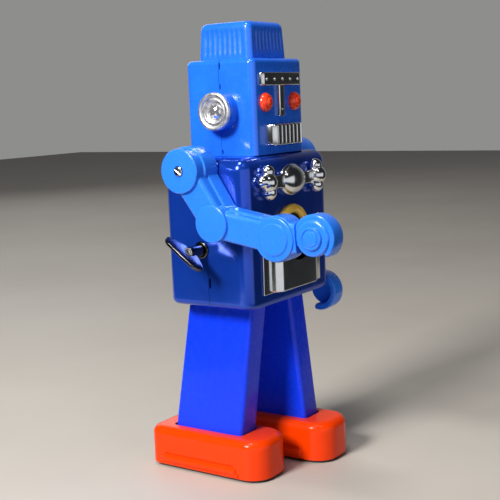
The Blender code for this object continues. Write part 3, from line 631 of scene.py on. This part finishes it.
def ears():
    base = [(21.6, 0), (21.6, 1.6), (24.05, 1.6), (24.05, 10.0), (24.5, 9.95)]
    base += [(28.6, 9.9), (29.65, 9.2), (29.65, 0)]
    dish = [(29.68, 0), (29.68, 9.3), (30.2, 9.8), (30.9, 9.95), (31.6, 9.85), (32.1, 9.4), (32.3, 8.8)]
    dish += [(32.2, 8.1), (31.8, 7.5), (31.35, 7.3), (31.3, 6.5), (31.45, 6.2), (31.3, 5.8), (30.5, 5.5)]
    dish += [(30.35, 5.1), (30.3, 0)]
    for side, sign in SIDES:
        shapes = {}
        for name, profile in (("base", base), ("dish", dish)):
            shapes[name] = [(sign * along, radius) for along, radius in profile]
        cup_part = raw(f"ear_cup_{side}", lathe(shapes["base"], "X", EAR), "head")
        piece(cup_part, "frame", f"ear_base_{side}", slot="blue_enamel")
        ring = raw(f"ear_ring_{side}", lathe(shapes["dish"], "X", EAR, 72), "dish")
        piece(ring, "frame", f"ear_dish_{side}", slot="chrome", angle=60)
        rings = ((0.0, 3.8), (0.4, 4.2), (1.2, 3.1), (1.8, 1.8))
        stone = raw(f"ear_stone_{side}", facets(sign, 30.5, rings, EAR, 8), "stone")
        piece(stone, "frame", f"ear_jewel_{side}", slot="jewel", angle=3)


# ---------------------------------------------------------------- body


def body_loops(shrink, steps=8):
    loops = []
    round_x = 3.5 - shrink
    round_y = max(0.6 - shrink, 0.0)
    corner = 6.5 - shrink
    for i in range(steps + 1):
        angle = math.radians(90.0 * i / steps)
        inset = 1 - math.sin(angle)
        half = (BODY_HALF[0] - shrink - round_x * inset, BODY_HALF[1] - shrink - round_y * inset)
        height = 94.0 + shrink + round_x * (1 - math.cos(angle))
        loops.append(box_loop((0, 0), half, (corner, corner), height, 10))
    top = topped((BODY_HALF[0] - shrink, BODY_HALF[1] - shrink), corner, 150, 171.4 - shrink, 7.0 - shrink, 9, 10)
    return loops + top[1:]


def body():
    shape = cup(body_loops(0.0), body_loops(1.0))
    holes = [disc(SHOULDER, 3.1, "X", s * 36, s * 44, 32) for _, s in SIDES]
    slots = seam_slots(BODY_HALF[0], ((107.0, 5.0, 1.3), (150.0, 5.0, 1.1)))
    front = combine(raw("body_front", shape, "body"), [half_cut(True)], "INTERSECT")
    combine(front, holes + slots, "DIFFERENCE")
    piece(front, "frame", "body_front_shell", slot="blue_enamel")
    rear = combine(raw("body_rear", shape, "body"), [half_cut(False)], "INTERSECT")
    combine(rear, holes + [disc(KEY_AXIS, 2.7, "X", -36, -44, 32)], "DIFFERENCE")
    piece(rear, "frame", "body_rear_shell", slot="blue_enamel")


# ---------------------------------------------------------------- chest


def globe(centre, radius, squash=1.0):
    """Closed ball about a point, its depth along Y scaled."""
    x, y, z = centre
    profile = [(y - radius * squash, 0)]
    for i in range(1, 12):
        angle = math.radians(-90 + 15 * i)
        profile.append((y + radius * squash * math.sin(angle), radius * math.cos(angle)))
    profile.append((y + radius * squash, 0))
    return lathe(profile, "Y", (x, z), 28)


def chest_ornament():
    """Soft blends between a stepped oval dome, a waisted bar and two clusters of balls."""
    base = -26.4
    zc = 157.6
    tall = 8.3 / 11.2
    parts = [oval_dome(base, (0, zc), tall)]
    for _, sign in SIDES:
        outline = []
        for i in range(13):
            t = i / 12
            x = sign * (6.0 + 17.0 * t)
            outline.append((x, zc + 3.3 + 1.3 * abs(2 * t - 1) ** 2))
        outline += [(x, 2 * zc - z) for x, z in reversed(outline)]
        parts.append(prism(outline, "Y", base, base - 3.2))
        balls = ((24.4, 158.0, 5.3, -28.9), (23.6, 163.4, 3.6, -28.8))
        balls += ((23.3, 152.9, 4.1, -28.9), (28.0, 158.6, 3.5, -28.6))
        for x, z, r, y in balls:
            parts.append(globe((sign * x, y, z), r))
        parts.append(disc((sign * 24.4, 158.0), 4.4, "Y", base, base - 3.0, 32))
    made = raw("chest_knobs", parts[0], "chrome")
    for shape in parts[1:]:
        append_shape(made, shape)
    remeshed(made, 0.32, 3)
    flatten_back(made, base)
    piece(made, "frame", "chest_ornament", slot="chrome", angle=180)


def oval_dome(base, centre, tall):
    """Stepped dome, wider than it is high."""
    profile = [(base, 11.2), (base - 1.6, 11.2), (base - 2.2, 10.9), (base - 2.3, 10.2)]
    for i in range(1, 10):
        angle = math.radians(90.0 * i / 9)
        profile.append((base - 2.3 - 5.0 * math.sin(angle), 10.1 * math.cos(angle) if i < 9 else 0))
    points, faces = lathe([(base, 0)] + profile, "Y", (0, 0), 64)
    return [(x + centre[0], y, z * tall + centre[1]) for x, y, z in points], faces


def append_shape(thing, shape):
    bm = bmesh.new()
    bm.from_mesh(thing.data)
    verts = [bm.verts.new((Vector(point) + OFFSET) * MM) for point in shape[0]]
    new = [bm.faces.new([verts[i] for i in face]) for face in shape[1]]
    bmesh.ops.recalc_face_normals(bm, faces=new)
    bm.to_mesh(thing.data)
    bm.free()


def remeshed(thing, voxel, rounds):
    step = thing.modifiers.new("skin", "REMESH")
    step.mode = "VOXEL"
    step.voxel_size = voxel * MM
    soft = thing.modifiers.new("soft", "SMOOTH")
    soft.iterations = rounds
    soft.factor = 0.5
    mat = thing.data.materials[0]
    baked(thing)
    thing.data.materials.clear()
    thing.data.materials.append(mat)
    return thing


def flatten_back(thing, y):
    """Keeps the piece in front of the wall it sits on."""
    limit = (y + OFFSET.y) * MM
    for vert in thing.data.vertices:
        vert.co.y = min(vert.co.y, limit)


def dial():
    base = -26.4
    section = [(base, 9.9), (base, 14.2)]
    for i in range(13):
        angle = math.radians(-10 + 200.0 * i / 12)
        section.append((base - 1.4 - 2.6 * math.sin(angle), 12.2 + 2.3 * math.cos(angle)))
    bezel = raw("dial_ring", lathe(section, "Y", DIAL, 96), "yellow")
    piece(bezel, "frame", "dial_bezel", slot="yellow_enamel", angle=50)
    plate = [(base, 0), (base, 9.75), (base - 1.3, 9.75), (base - 1.0, 8.8), (base - 0.9, 0)]
    face_plate = raw("dial_plate", lathe(plate, "Y", DIAL, 64), "black")
    piece(face_plate, "frame", "dial_face", slot="black_enamel")
    points, faces = facets(1, 0.0, ((0.0, 7.4), (0.6, 7.9), (1.9, 5.9), (2.6, 3.2)), DIAL, 12)
    stone_points = [(a, base - 1.35 - along, b) for along, a, b in points]
    stone = raw("dial_stone", (stone_points, faces), "pink")
    piece(stone, "frame", "dial_jewel", slot="jewel", angle=3)


def panel_outline(half, back, depth, radius, steps=14):
    points = [(half, back)]
    for i in range(steps + 1):
        angle = math.radians(90.0 * i / steps)
        x = half - radius * (1 - math.cos(angle))
        points.append((x, back - (depth - radius) - radius * math.sin(angle)))
    return points + [(-x, y) for x, y in reversed(points)]


def chest_panel():
    """Chromed pan with a flat flange, wide round sides and rounded top and bottom edges."""
    base = -26.4
    sheet = [(-28.2, 100.0), (28.2, 100.0), (28.2, 121.5), (-28.2, 121.5)]
    flange = bevelled(raw("chest_pan", prism(sheet, "Y", base, base - 0.8), "chrome"), 0.3)
    loops = []
    for z, inset in ((100.5, 0.9), (100.65, 0.35), (101.2, 0.0), (119.5, 0.0), (120.05, 0.35), (120.2, 0.9)):
        outline = panel_outline(20.8 - inset, base, 5.6 - inset, 5.4 - inset * 0.5)
        loops.append([(x, y, z) for x, y in outline])
    joined(flange, loft(loops))
    combine(flange, [disc(DIAL, 15.1, "Y", -20, -40, 96)], "DIFFERENCE")
    inner = [[(x, y, z) for x, y in panel_outline(20.0, base + 1.5, 6.3, 4.6)] for z in (101.5, 114.5)]
    combine(flange, [loft(inner)], "DIFFERENCE")
    piece(flange, "frame", "chest_panel", slot="chrome")


# ---------------------------------------------------------------- arms


def sided(profile, sign):
    """Turned profile moved to the robot's left (+1) or right (-1)."""
    return [(sign * x, r) for x, r in profile]


def arm_profile(radius, top, tier=0.8, edge=1.0):
    """Side profile of a round part of the arm: a wide tier, a step, and a rounded outer face."""
    rim = [(41.3, 0), (41.3, radius), (51.6, radius), (52.2, radius - tier), (top, radius - tier), (top, 0)]
    return rounded(rim, (0, 0.4, 0.5, 0.4, edge, 0))


def section_steps(top, tier=1.0, edge=2.0):
    """(x, inset) pairs up the side of a straight part of the arm."""
    steps = [(41.3, 0.25), (41.6, 0.0), (48.6, 0.0), (49.2, 0.15), (49.6, 0.5)]
    steps += [(49.9, tier - 0.1), (50.7, tier)]
    for i in range(6):
        angle = math.radians(18.0 * i)
        steps.append((top - edge + edge * math.sin(angle), tier + edge * (1 - math.cos(angle))))
    return steps


def strip(first, second, half_first, half_second, top_first, top_second, sign):
    """Straight part of the arm between two joints; its outer face slopes between two heights."""
    a, b = Vector(first), Vector(second)
    along = (b - a).normalized()
    across = Vector((-along.y, along.x))
    loops = []
    for (x1, inset), (x2, _) in zip(section_steps(top_first), section_steps(top_second)):
        h1 = half_first - inset
        h2 = half_second - inset
        corners = ((a + across * h1, x1), (b + across * h2, x2), (b - across * h2, x2), (a - across * h1, x1))
        loops.append([(sign * x, p.x, p.y) for p, x in corners])
    return loft(loops)


def hollow_strip(first, second, half, top, sign):
    a, b = Vector(first), Vector(second)
    along = (b - a).normalized()
    across = Vector((-along.y, along.x))
    ring = [a + across * half, b + across * half, b - across * half, a - across * half]
    return loft([[(sign * x, p.x, p.y) for p in ring] for x in (39.0, top)])


def hollow_disc(centre, radius, top, sign):
    profile = [(39.0, 0), (39.0, radius), (top, radius), (top, 0)]
    return lathe(sided(profile, sign), "X", centre, 48)


def claw(sign):
    """C-shaped finger swept round the hand's centre."""
    section = rounded([(42.0, 7.9), (42.0, 11.2), (51.5, 11.2), (51.5, 7.9)], 1.1, 3, closed=True)
    loops = []
    steps = 54
    for i in range(steps + 1):
        angle = math.radians(-60.0 + 265.0 * i / steps)
        taper = 1.0
        if i < 3:
            taper = (0.45, 0.78, 0.94)[i]
        loop = []
        for x, r in section:
            x = 46.75 + (x - 46.75) * taper
            r = 9.6 + (r - 9.6) * taper
            loop.append((sign * x, HAND[0] - r * math.cos(angle), HAND[1] + r * math.sin(angle)))
        loops.append(loop)
    return loft(loops)


def hand(sign):
    reach = math.dist(WRIST, HAND)
    t = (reach - 9.0) / reach
    near = tuple(w + (h - w) * t for w, h in zip(WRIST, HAND))
    a, b = Vector(WRIST), Vector(near)
    along = (b - a).normalized()
    across = Vector((-along.y, along.x))
    neck = []
    edge = ((43.0, 1.0), (43.4, 0.3), (44.2, 0.0), (50.9, 0.0), (52.0, 0.35), (52.6, 0.9), (52.9, 1.8))
    for x, inset in edge:
        ring = [a + across * (9.0 - inset), b + across * (7.2 - inset)]
        ring += [b - across * (7.2 - inset), a - across * (9.0 - inset)]
        neck.append([(sign * x, p.x, p.y) for p in ring])
    web = rounded([(49.6, 0), (49.6, 8.9), (53.0, 8.9), (53.0, 0)], (0, 0.5, 2.2, 0))
    knob = [(50.5, 0), (50.5, 5.7), (53.4, 5.7), (54.1, 5.4), (54.45, 4.9), (54.45, 4.55), (54.0, 4.3)]
    knob += [(53.95, 3.9), (54.35, 3.6), (54.5, 3.1), (54.5, 0)]
    shapes = [loft(neck), claw(sign)]
    shapes.append(lathe(sided(web, sign), "X", HAND, 64))
    shapes.append(lathe(sided(knob, sign), "X", HAND, 64))
    return shapes


def mirrored(thing, name):
    """Copy of a finished mesh on the robot's other side."""
    mesh = thing.data.copy()
    flip = Matrix.Scale(-1.0, 4, (1.0, 0.0, 0.0))
    mesh.transform(Matrix.Translation((2 * OFFSET.x * MM, 0.0, 0.0)) @ flip)
    mesh.flip_normals()
    made = bpy.data.objects.new(name, mesh)
    bpy.context.scene.collection.objects.link(made)
    return made


def arm_moulding(sign):
    shoulder = sided(arm_profile(12.0, 58.0, 0.8, 0.8), sign)
    made = raw("arm_moulding_right", lathe(shoulder, "X", SHOULDER, 96), "arm")
    pad = ((50.0, 0), (50.0, 7.9), (54.1, 7.9), (54.5, 7.4), (54.5, 0))
    shapes = [
        strip(SHOULDER, ELBOW, 8.8, 8.6, 56.9, 54.7, sign),
        lathe(sided(arm_profile(9.6, 56.1, 0.25, 0.7), sign), "X", ELBOW, 72),
        strip(ELBOW, WRIST, 8.3, 8.3, 54.7, 53.6, sign),
        lathe(sided(arm_profile(11.3, 53.8, 0.5, 1.4), sign), "X", WRIST, 80),
        lathe(sided(pad, sign), "X", WRIST, 64),
    ]
    combine(made, shapes + hand(sign), "UNION")
    hollows = [
        hollow_disc(SHOULDER, 10.3, 56.5, sign),
        hollow_disc(ELBOW, 7.8, 53.6, sign),
        hollow_disc(WRIST, 9.9, 52.6, sign),
        hollow_strip(SHOULDER, ELBOW, 6.6, 53.2, sign),
        hollow_strip(ELBOW, WRIST, 6.3, 52.1, sign),
    ]
    combine(made, hollows, "DIFFERENCE")
    hub = lathe(sided(((51.0, 0), (51.0, 3.6), (57.2, 3.6), (57.2, 0)), sign), "X", SHOULDER, 32)
    combine(made, [hub], "UNION")
    well = [(45.0, 0), (45.0, 1.55), (57.4, 1.55), (57.4, 2.9), (60.0, 2.9), (60.0, 0)]
    return combine(made, [lathe(sided(well, sign), "X", SHOULDER, 32)], "DIFFERENCE")


def arms():
    right = arm_moulding(-1)
    left = turn_about_x(mirrored(right, "arm_moulding_left"), SHOULDER, LEFT_ARM_LOWERED)
    for (side, sign), made in zip(SIDES, (right, left)):
        piece(made, f"{side}_arm", f"arm_{side}", slot="light_blue_plastic", angle=30)
        shoulders(side, sign)


def shoulders(side, sign):
    bush = [(37.5, 1.6), (37.5, 2.9), (40.85, 2.9), (40.85, 6.4), (41.6, 6.3), (43.0, 5.9), (43.6, 5.0)]
    bush += [(50.6, 5.0), (50.6, 1.6)]
    made = raw(f"shoulder_boss_{side}", lathe(sided(bush, sign), "X", SHOULDER, 48), "head")
    piece(made, "frame", f"shoulder_bush_{side}", slot="blue_enamel")
    shank = [(36.8, 0), (36.8, 1.45), (57.5, 1.45), (57.5, 2.5)]
    shank += [(58.3, 2.5), (58.8, 2.1), (59.05, 1.2), (59.1, 0)]
    screw = raw(f"shoulder_screw_{side}", lathe(sided(shank, sign), "X", SHOULDER, 40), "nickel")
    y, z = SHOULDER
    combine(screw, [span_block((sign * 58.5, y - 3, z - 0.35), (sign * 60, y + 3, z + 0.35))], "DIFFERENCE")
    turn_about_x(screw, SHOULDER, 35.0)
    piece(screw, "frame", f"arm_screw_{side}", slot="steel")


# ---------------------------------------------------------------- key


def key():
    y, z = KEY_AXIS
    wing = [(-49.2, 3.0), (-50.0, 5.6), (-51.2, 8.0), (-52.4, 10.4), (-53.6, 12.2), (-55.2, 13.1)]
    wing += [(-56.9, 12.9), (-58.4, 11.6), (-59.4, 9.8), (-59.7, 8.4)]
    outline = wing + [(x, -span) for x, span in reversed(wing)]
    plate = prism([(x, y + span) for x, span in outline], "Z", z - 0.85, z + 0.85)
    blade = bevelled(raw("key_wings", plate, "steel"), 0.35, 3)
    tube = rounded([(-52.6, 1.66), (-52.6, 3.05), (-43.0, 3.05), (-43.0, 1.66)], 0.4, 3, closed=True)
    joined(blade, lathe(tube, "X", KEY_AXIS, 48))
    combine(blade, [disc(KEY_AXIS, 1.66, "X", -42.0, -52.2, 32)], "DIFFERENCE")
    turn_about_x(blade, KEY_AXIS, 36.5)
    piece(blade, "key", "winding_key", slot="steel", angle=40)
    section = [(-40.8, 1.66), (-40.8, 4.6), (-42.0, 4.3), (-42.0, 1.66)]
    ring = rounded(section, (0.1, 0.2, 0.6, 0.3), 4, closed=True)
    collar = raw("key_eyelet", lathe(ring, "X", KEY_AXIS, 48), "steel")
    piece(collar, "frame", "key_collar", slot="steel")


# ---------------------------------------------------------------- legs and feet


def ankle_of(sign):
    swing = math.radians(SWING[sign])
    return (HIP[0] - sign * ANKLE_DROP * math.sin(swing), HIP[1] - ANKLE_DROP * math.cos(swing))


def legs():
    for side, sign in SIDES:
        stations = ((9.6, 21.1, 22.0), (22.2, 21.1, 22.0), (46, 19.67, 21.5), (70, 18.24, 21.0))
        stations += ((93.95, 16.8, 20.5), (107.9, 15.94, 20.5), (108.5, 15.9, 20.5))
        outer = []
        inner = []
        for z, x, deep in stations:
            inset = 0.5 if z == 108.5 else 0.0
            centre = (sign * x, HIP[0])
            outer.append(box_loop(centre, (7.4 - inset, deep - inset), (2.2, 2.2), z, 8))
            low = min(z, 107.4) - (0.2 if z == 107.9 else 0.0)
            inner.append(box_loop(centre, (6.6, deep - 0.8), (1.4, 1.4), low, 8))
        made = raw(f"leg_tube_{side}", cup(outer, inner), "leg")
        y = HIP[0] + 1.7
        eye_centre = (HIP[0], KEY_AXIS[1])
        lever = bar_outline(y, 3.5, 107.6, 147.0)
        x0, x1 = sorted((sign * 11.6, sign * 12.8))
        joined(made, prism(lever, "X", x0, x1), disc(eye_centre, 6.6, "X", x0, x1, 40))
        ankle = (HIP[0], HIP[1] - ANKLE_DROP)
        cuts = [
            disc(HIP, 1.8, "X", sign * 5.0, sign * 30.0, 32),
            disc(ankle, 1.55, "X", sign * 8.0, sign * 36.0, 32),
            disc(eye_centre, 4.3, "X", sign * 10.0, sign * 14.0, 40),
            span_block((sign * 10.0, y - 1.3, 138.0), (sign * 14.0, y + 1.3, 145.5)),
        ]
        combine(made, cuts, "DIFFERENCE")
        turn_about_x(made, HIP, -sign * SWING[sign])
        piece(made, f"{side}_leg", f"leg_{side}", slot="leg_enamel")


def bar_outline(y, half, low, high):
    """Upright flat bar with a round top, as a YZ outline."""
    outline = [(y - half, low), (y + half, low)]
    for i in range(13):
        angle = math.radians(180.0 * i / 12)
        outline.append((y + half * math.cos(angle), high - half + half * math.sin(angle)))
    return outline


def foot_loops(centre, shrink, low, high, rounding):
    loops = []
    heights = [(low, 0.35 if shrink == 0 else 0.0), (low + 0.4, 0.0), (high - rounding - 1.0, 0.0)]
    for z, inset in heights:
        half = (FOOT_HALF[0] - shrink - inset, FOOT_HALF[1] - shrink - inset)
        loops.append(box_loop(centre, half, (7 - shrink - inset, 12 - shrink - inset), z, 12))
    for i in range(9):
        angle = math.radians(90.0 * i / 8)
        inset = rounding * (1 - math.cos(angle))
        half = (FOOT_HALF[0] - shrink - inset, FOOT_HALF[1] - shrink - inset)
        radii = (7 - shrink - inset, 12 - shrink - inset)
        loops.append(box_loop(centre, half, radii, high - rounding * (1 - math.sin(angle)), 12))
    return loops


def feet():
    for side, sign in SIDES:
        ankle = ankle_of(sign)
        centre = (sign * FOOT_X, ankle[0] + FOOT_BACK)
        shape = cup(foot_loops(centre, 0.0, 1.5, 22.6, 4.4), foot_loops(centre, 1.0, 1.5, 21.6, 3.4))
        made = raw(f"foot_shoe_{side}", shape, "foot")
        slot = [box_loop((centre[0], ankle[0]), (8.15, 23.2), (2.8, 2.8), z, 6) for z in (19.0, 25.0)]
        rails = []
        for edge in (-1, 1):
            rails.append(rail(centre[0] + edge * FOOT_HALF[0], centre[1], edge))
            rails.append(tab(centre[0] + edge * FOOT_HALF[0], centre[1] - 19.5, edge))
        joined(made, *rails)
        grooves = [side_groove(centre[0] + edge * FOOT_HALF[0], centre[1], edge) for edge in (-1, 1)]
        combine(made, [loft(slot)] + grooves, "DIFFERENCE")
        piece(made, f"{side}_foot", f"foot_shell_{side}", slot="red_enamel", angle=28)
        sole(side, sign, centre, ankle)


def sole(side, sign, centre, ankle):
    """Black plate set back inside the shell, with roller windows and the bearing ears."""
    plate = loft([box_loop(centre, (13.9, 35.6), (5.4, 10.4), z, 10) for z in (0.35, 2.3)])
    made = raw(f"foot_sole_{side}", plate, "black")
    x = centre[0]
    axles = [centre[1] + way * ROLLER_REACH for way in (-1, 1)]
    combine(made, [block((x - 5.4, y - 4.4, -1), (x + 5.4, y + 4.4, 4)) for y in axles], "DIFFERENCE")
    ears_up = []
    for edge in (-1, 1):
        for y in axles:
            ears_up.append(span_block((x + edge * 5.5, y - 2.4, 1.9), (x + edge * 6.7, y + 2.4, 5.6)))
        y = ankle[0]
        ears_up.append(span_block((x + edge * 9.6, y - 4, 1.9), (x + edge * 11.0, y + 4, 20.8)))
    joined(made, *ears_up)
    bores = [disc((y, ROLLER_R), 1.0, "X", x - 12, x + 12, 24) for y in axles]
    bores.append(disc(ankle, 1.55, "X", x - 14, x + 14, 24))
    combine(made, bores, "DIFFERENCE")
    piece(made, f"{side}_foot", f"foot_base_{side}", slot="black_enamel")


def rail(x, y, edge):
    """Raised rib pressed along the side of the foot."""
    section = [(-0.5, 3.2), (0.2, 3.3), (1.0, 3.7), (1.3, 4.4)]
    section += [(1.3, 6.0), (1.0, 6.7), (0.2, 7.1), (-0.5, 7.2)]
    loops = []
    for along, share in ((-21.4, 0.3), (-21.0, 0.85), (-20.2, 1.0), (24.0, 1.0), (27.0, 0.75), (29.5, 0.1)):
        loops.append([(x + edge * (p * share if p > 0 else p), y + along, z) for p, z in section])
    return loft(loops)


def side_groove(x, y, edge):
    """Pressed line that runs above the rib."""
    section = [(-0.75, 8.0), (0.3, 7.2), (0.3, 8.8)]
    return loft([[(x + edge * p, y + along, z) for p, z in section] for along in (-20.0, 26.0)])


def tab(x, y, edge):
    """Small tab folded over the edge of the sole."""
    return bevel_box((x - edge * 0.4, y - 3.4, 2.6), (x + edge * 0.75, y + 3.0, 4.4))


def bevel_box(a, b):
    low = tuple(min(p, q) for p, q in zip(a, b))
    high = tuple(max(p, q) for p, q in zip(a, b))
    centre = ((low[0] + high[0]) / 2, (low[1] + high[1]) / 2)
    half = ((high[0] - low[0]) / 2, (high[1] - low[1]) / 2)
    radius = min(half) * 0.5
    loops = []
    cut = radius * 0.5
    for z, inset in ((low[2], cut), (low[2] + cut, 0), (high[2] - cut, 0), (high[2], cut)):
        loops.append(box_loop(centre, (half[0] - inset, half[1] - inset), (radius * 0.6, radius * 0.6), z, 3))
    return loft(loops)


# ---------------------------------------------------------------- carried-over parts


def carried_over():
    """New finishes for the CAD parts that show as they are."""
    finish = {"steel": "zinc", "brass": "brass", "rubber": "rubber", "black_enamel": "black"}
    for entry in frame["record"]["subparts"]:
        thing = frame["nodes"][entry["node"]]
        if thing.hide_render:
            continue
        mat = MATS[finish.get(entry["material_slot"], "zinc")]
        if not thing.material_slots:
            thing.data.materials.append(mat)
        for material_slot in thing.material_slots:
            material_slot.material = mat


# ---------------------------------------------------------------- stage


def floor():
    mat, tree, shader, place = new_material("studio_floor")
    speck = noise(tree, place, 6.0, 5.0, 0.6)
    shades = ((0.3, (0.44, 0.405, 0.36)), (0.7, (0.48, 0.445, 0.40)))
    tree.links.new(ramp(tree, speck, shades), shader.inputs["Base Color"])
    shader.inputs["Roughness"].default_value = 0.55
    outline = [(-420.0, -190.0), (2800.0, -190.0), (2800.0, 2800.0), (1850.0, 2800.0), (-420.0, 60.0)]
    made = raw("floor", prism(outline, "Z", -2.0, 0.0))
    made.data.materials.append(mat)


def lamp(name, direction, distance, size, energy, colour=(1, 1, 1), target=(0, 0, 130)):
    data = bpy.data.lights.new(name, "AREA")
    data.shape = "RECTANGLE"
    data.size = size[0]
    data.size_y = size[1]
    data.energy = energy
    data.color = colour
    made = bpy.data.objects.new(name, data)
    aim = Vector(target) * MM
    made.location = aim + Vector(direction).normalized() * distance
    made.rotation_euler = (aim - made.location).to_track_quat("-Z", "Y").to_euler()
    bpy.context.scene.collection.objects.link(made)


def lights():
    lamp("key", (-1.0, 0.1, 0.62), 1.2, (0.30, 0.30), 21.0, (1.0, 0.985, 0.96))
    lamp("overhead", (-0.35, 0.0, 1.0), 1.3, (0.35, 0.35), 9.0, (1.0, 0.99, 0.97))
    lamp("glint", (-0.3, -0.55, 0.8), 1.4, (0.13, 0.13), 1.3, (1.0, 1.0, 1.0))
    lamp("rear_fill", (0.6, 0.9, 0.5), 1.8, (1.0, 1.0), 4.0, (0.96, 0.98, 1.0))
    world = bpy.data.worlds.new("studio")
    bpy.context.scene.world = world
    world.use_nodes = True
    tree = world.node_tree
    back = tree.nodes["Background"]
    coords = tree.nodes.new("ShaderNodeTexCoord")
    dot = tree.nodes.new("ShaderNodeVectorMath")
    dot.operation = "DOT_PRODUCT"
    dot.inputs[1].default_value = (0.82, 0.57, 0.0)
    tree.links.new(coords.outputs["Generated"], dot.inputs[0])
    share = spread(tree, dot.outputs["Value"], 0.0, 1.0, 0.45, 0.85)
    shades = ((0.0, (0.06, 0.062, 0.066)), (1.0, (0.80, 0.80, 0.79)))
    tree.links.new(ramp(tree, share, shades), back.inputs["Color"])
    back.inputs["Strength"].default_value = 0.32
    window(tree, coords.outputs["Generated"], back)


def window(tree, direction, back):
    """Adds a low bright band in front of the robot and to its right, as a window would be."""
    dot = tree.nodes.new("ShaderNodeVectorMath")
    dot.operation = "DOT_PRODUCT"
    dot.inputs[1].default_value = (-0.34, -0.94, 0.0)
    tree.links.new(direction, dot.inputs[0])
    parts = tree.nodes.new("ShaderNodeSeparateXYZ")
    tree.links.new(direction, parts.inputs["Vector"])
    height = tree.nodes.new("ShaderNodeMath")
    height.operation = "ABSOLUTE"
    tree.links.new(parts.outputs["Z"], height.inputs[0])
    glow = tree.nodes.new("ShaderNodeMath")
    glow.operation = "MULTIPLY"
    tree.links.new(spread(tree, dot.outputs["Value"], 0.0, 0.75, 0.62, 0.74), glow.inputs[0])
    tree.links.new(spread(tree, height.outputs["Value"], 1.0, 0.0, 0.22, 0.36), glow.inputs[1])
    pane = tree.nodes.new("ShaderNodeBackground")
    pane.inputs["Color"].default_value = (0.97, 0.98, 1.0, 1.0)
    tree.links.new(glow.outputs["Value"], pane.inputs["Strength"])
    both = tree.nodes.new("ShaderNodeAddShader")
    tree.links.new(back.outputs["Background"], both.inputs[0])
    tree.links.new(pane.outputs["Background"], both.inputs[1])
    plain_backdrop(tree, both.outputs["Shader"])


def plain_backdrop(tree, lighting):
    """Shows one even grey behind the floor, whatever lights the toy."""
    rays = tree.nodes.new("ShaderNodeLightPath")
    grey = tree.nodes.new("ShaderNodeBackground")
    grey.inputs["Color"].default_value = (0.27, 0.27, 0.265, 1.0)
    pick = tree.nodes.new("ShaderNodeMixShader")
    tree.links.new(rays.outputs["Is Camera Ray"], pick.inputs["Fac"])
    tree.links.new(lighting, pick.inputs[1])
    tree.links.new(grey.outputs["Background"], pick.inputs[2])
    tree.links.new(pick.outputs["Shader"], tree.nodes["World Output"].inputs["Surface"])


def camera():
    data = bpy.data.cameras.new("camera")
    data.lens = 73.66
    data.sensor_width = 36.0
    data.clip_start = 0.01
    data.clip_end = 50.0
    made = bpy.data.objects.new("camera", data)
    right = Vector((0.56205, -0.82619, -0.03891))
    up = Vector((0.14267, 0.05050, 0.98848))
    back = right.cross(up)
    place = (Vector((-456.42, -314.11, 200.41)) + OFFSET) * MM
    turn = Matrix((right, up, back)).transposed().to_4x4()
    made.matrix_world = Matrix.Translation(place) @ turn
    bpy.context.scene.collection.objects.link(made)
    bpy.context.scene.camera = made


view = bpy.context.scene.view_settings
view.view_transform = "Standard"
view.look = "None"

camera()
lights()
floor()
head()
cap()
face()
ears()
body()
chest_ornament()
dial()
chest_panel()
arms()
key()
legs()
feet()
carried_over()
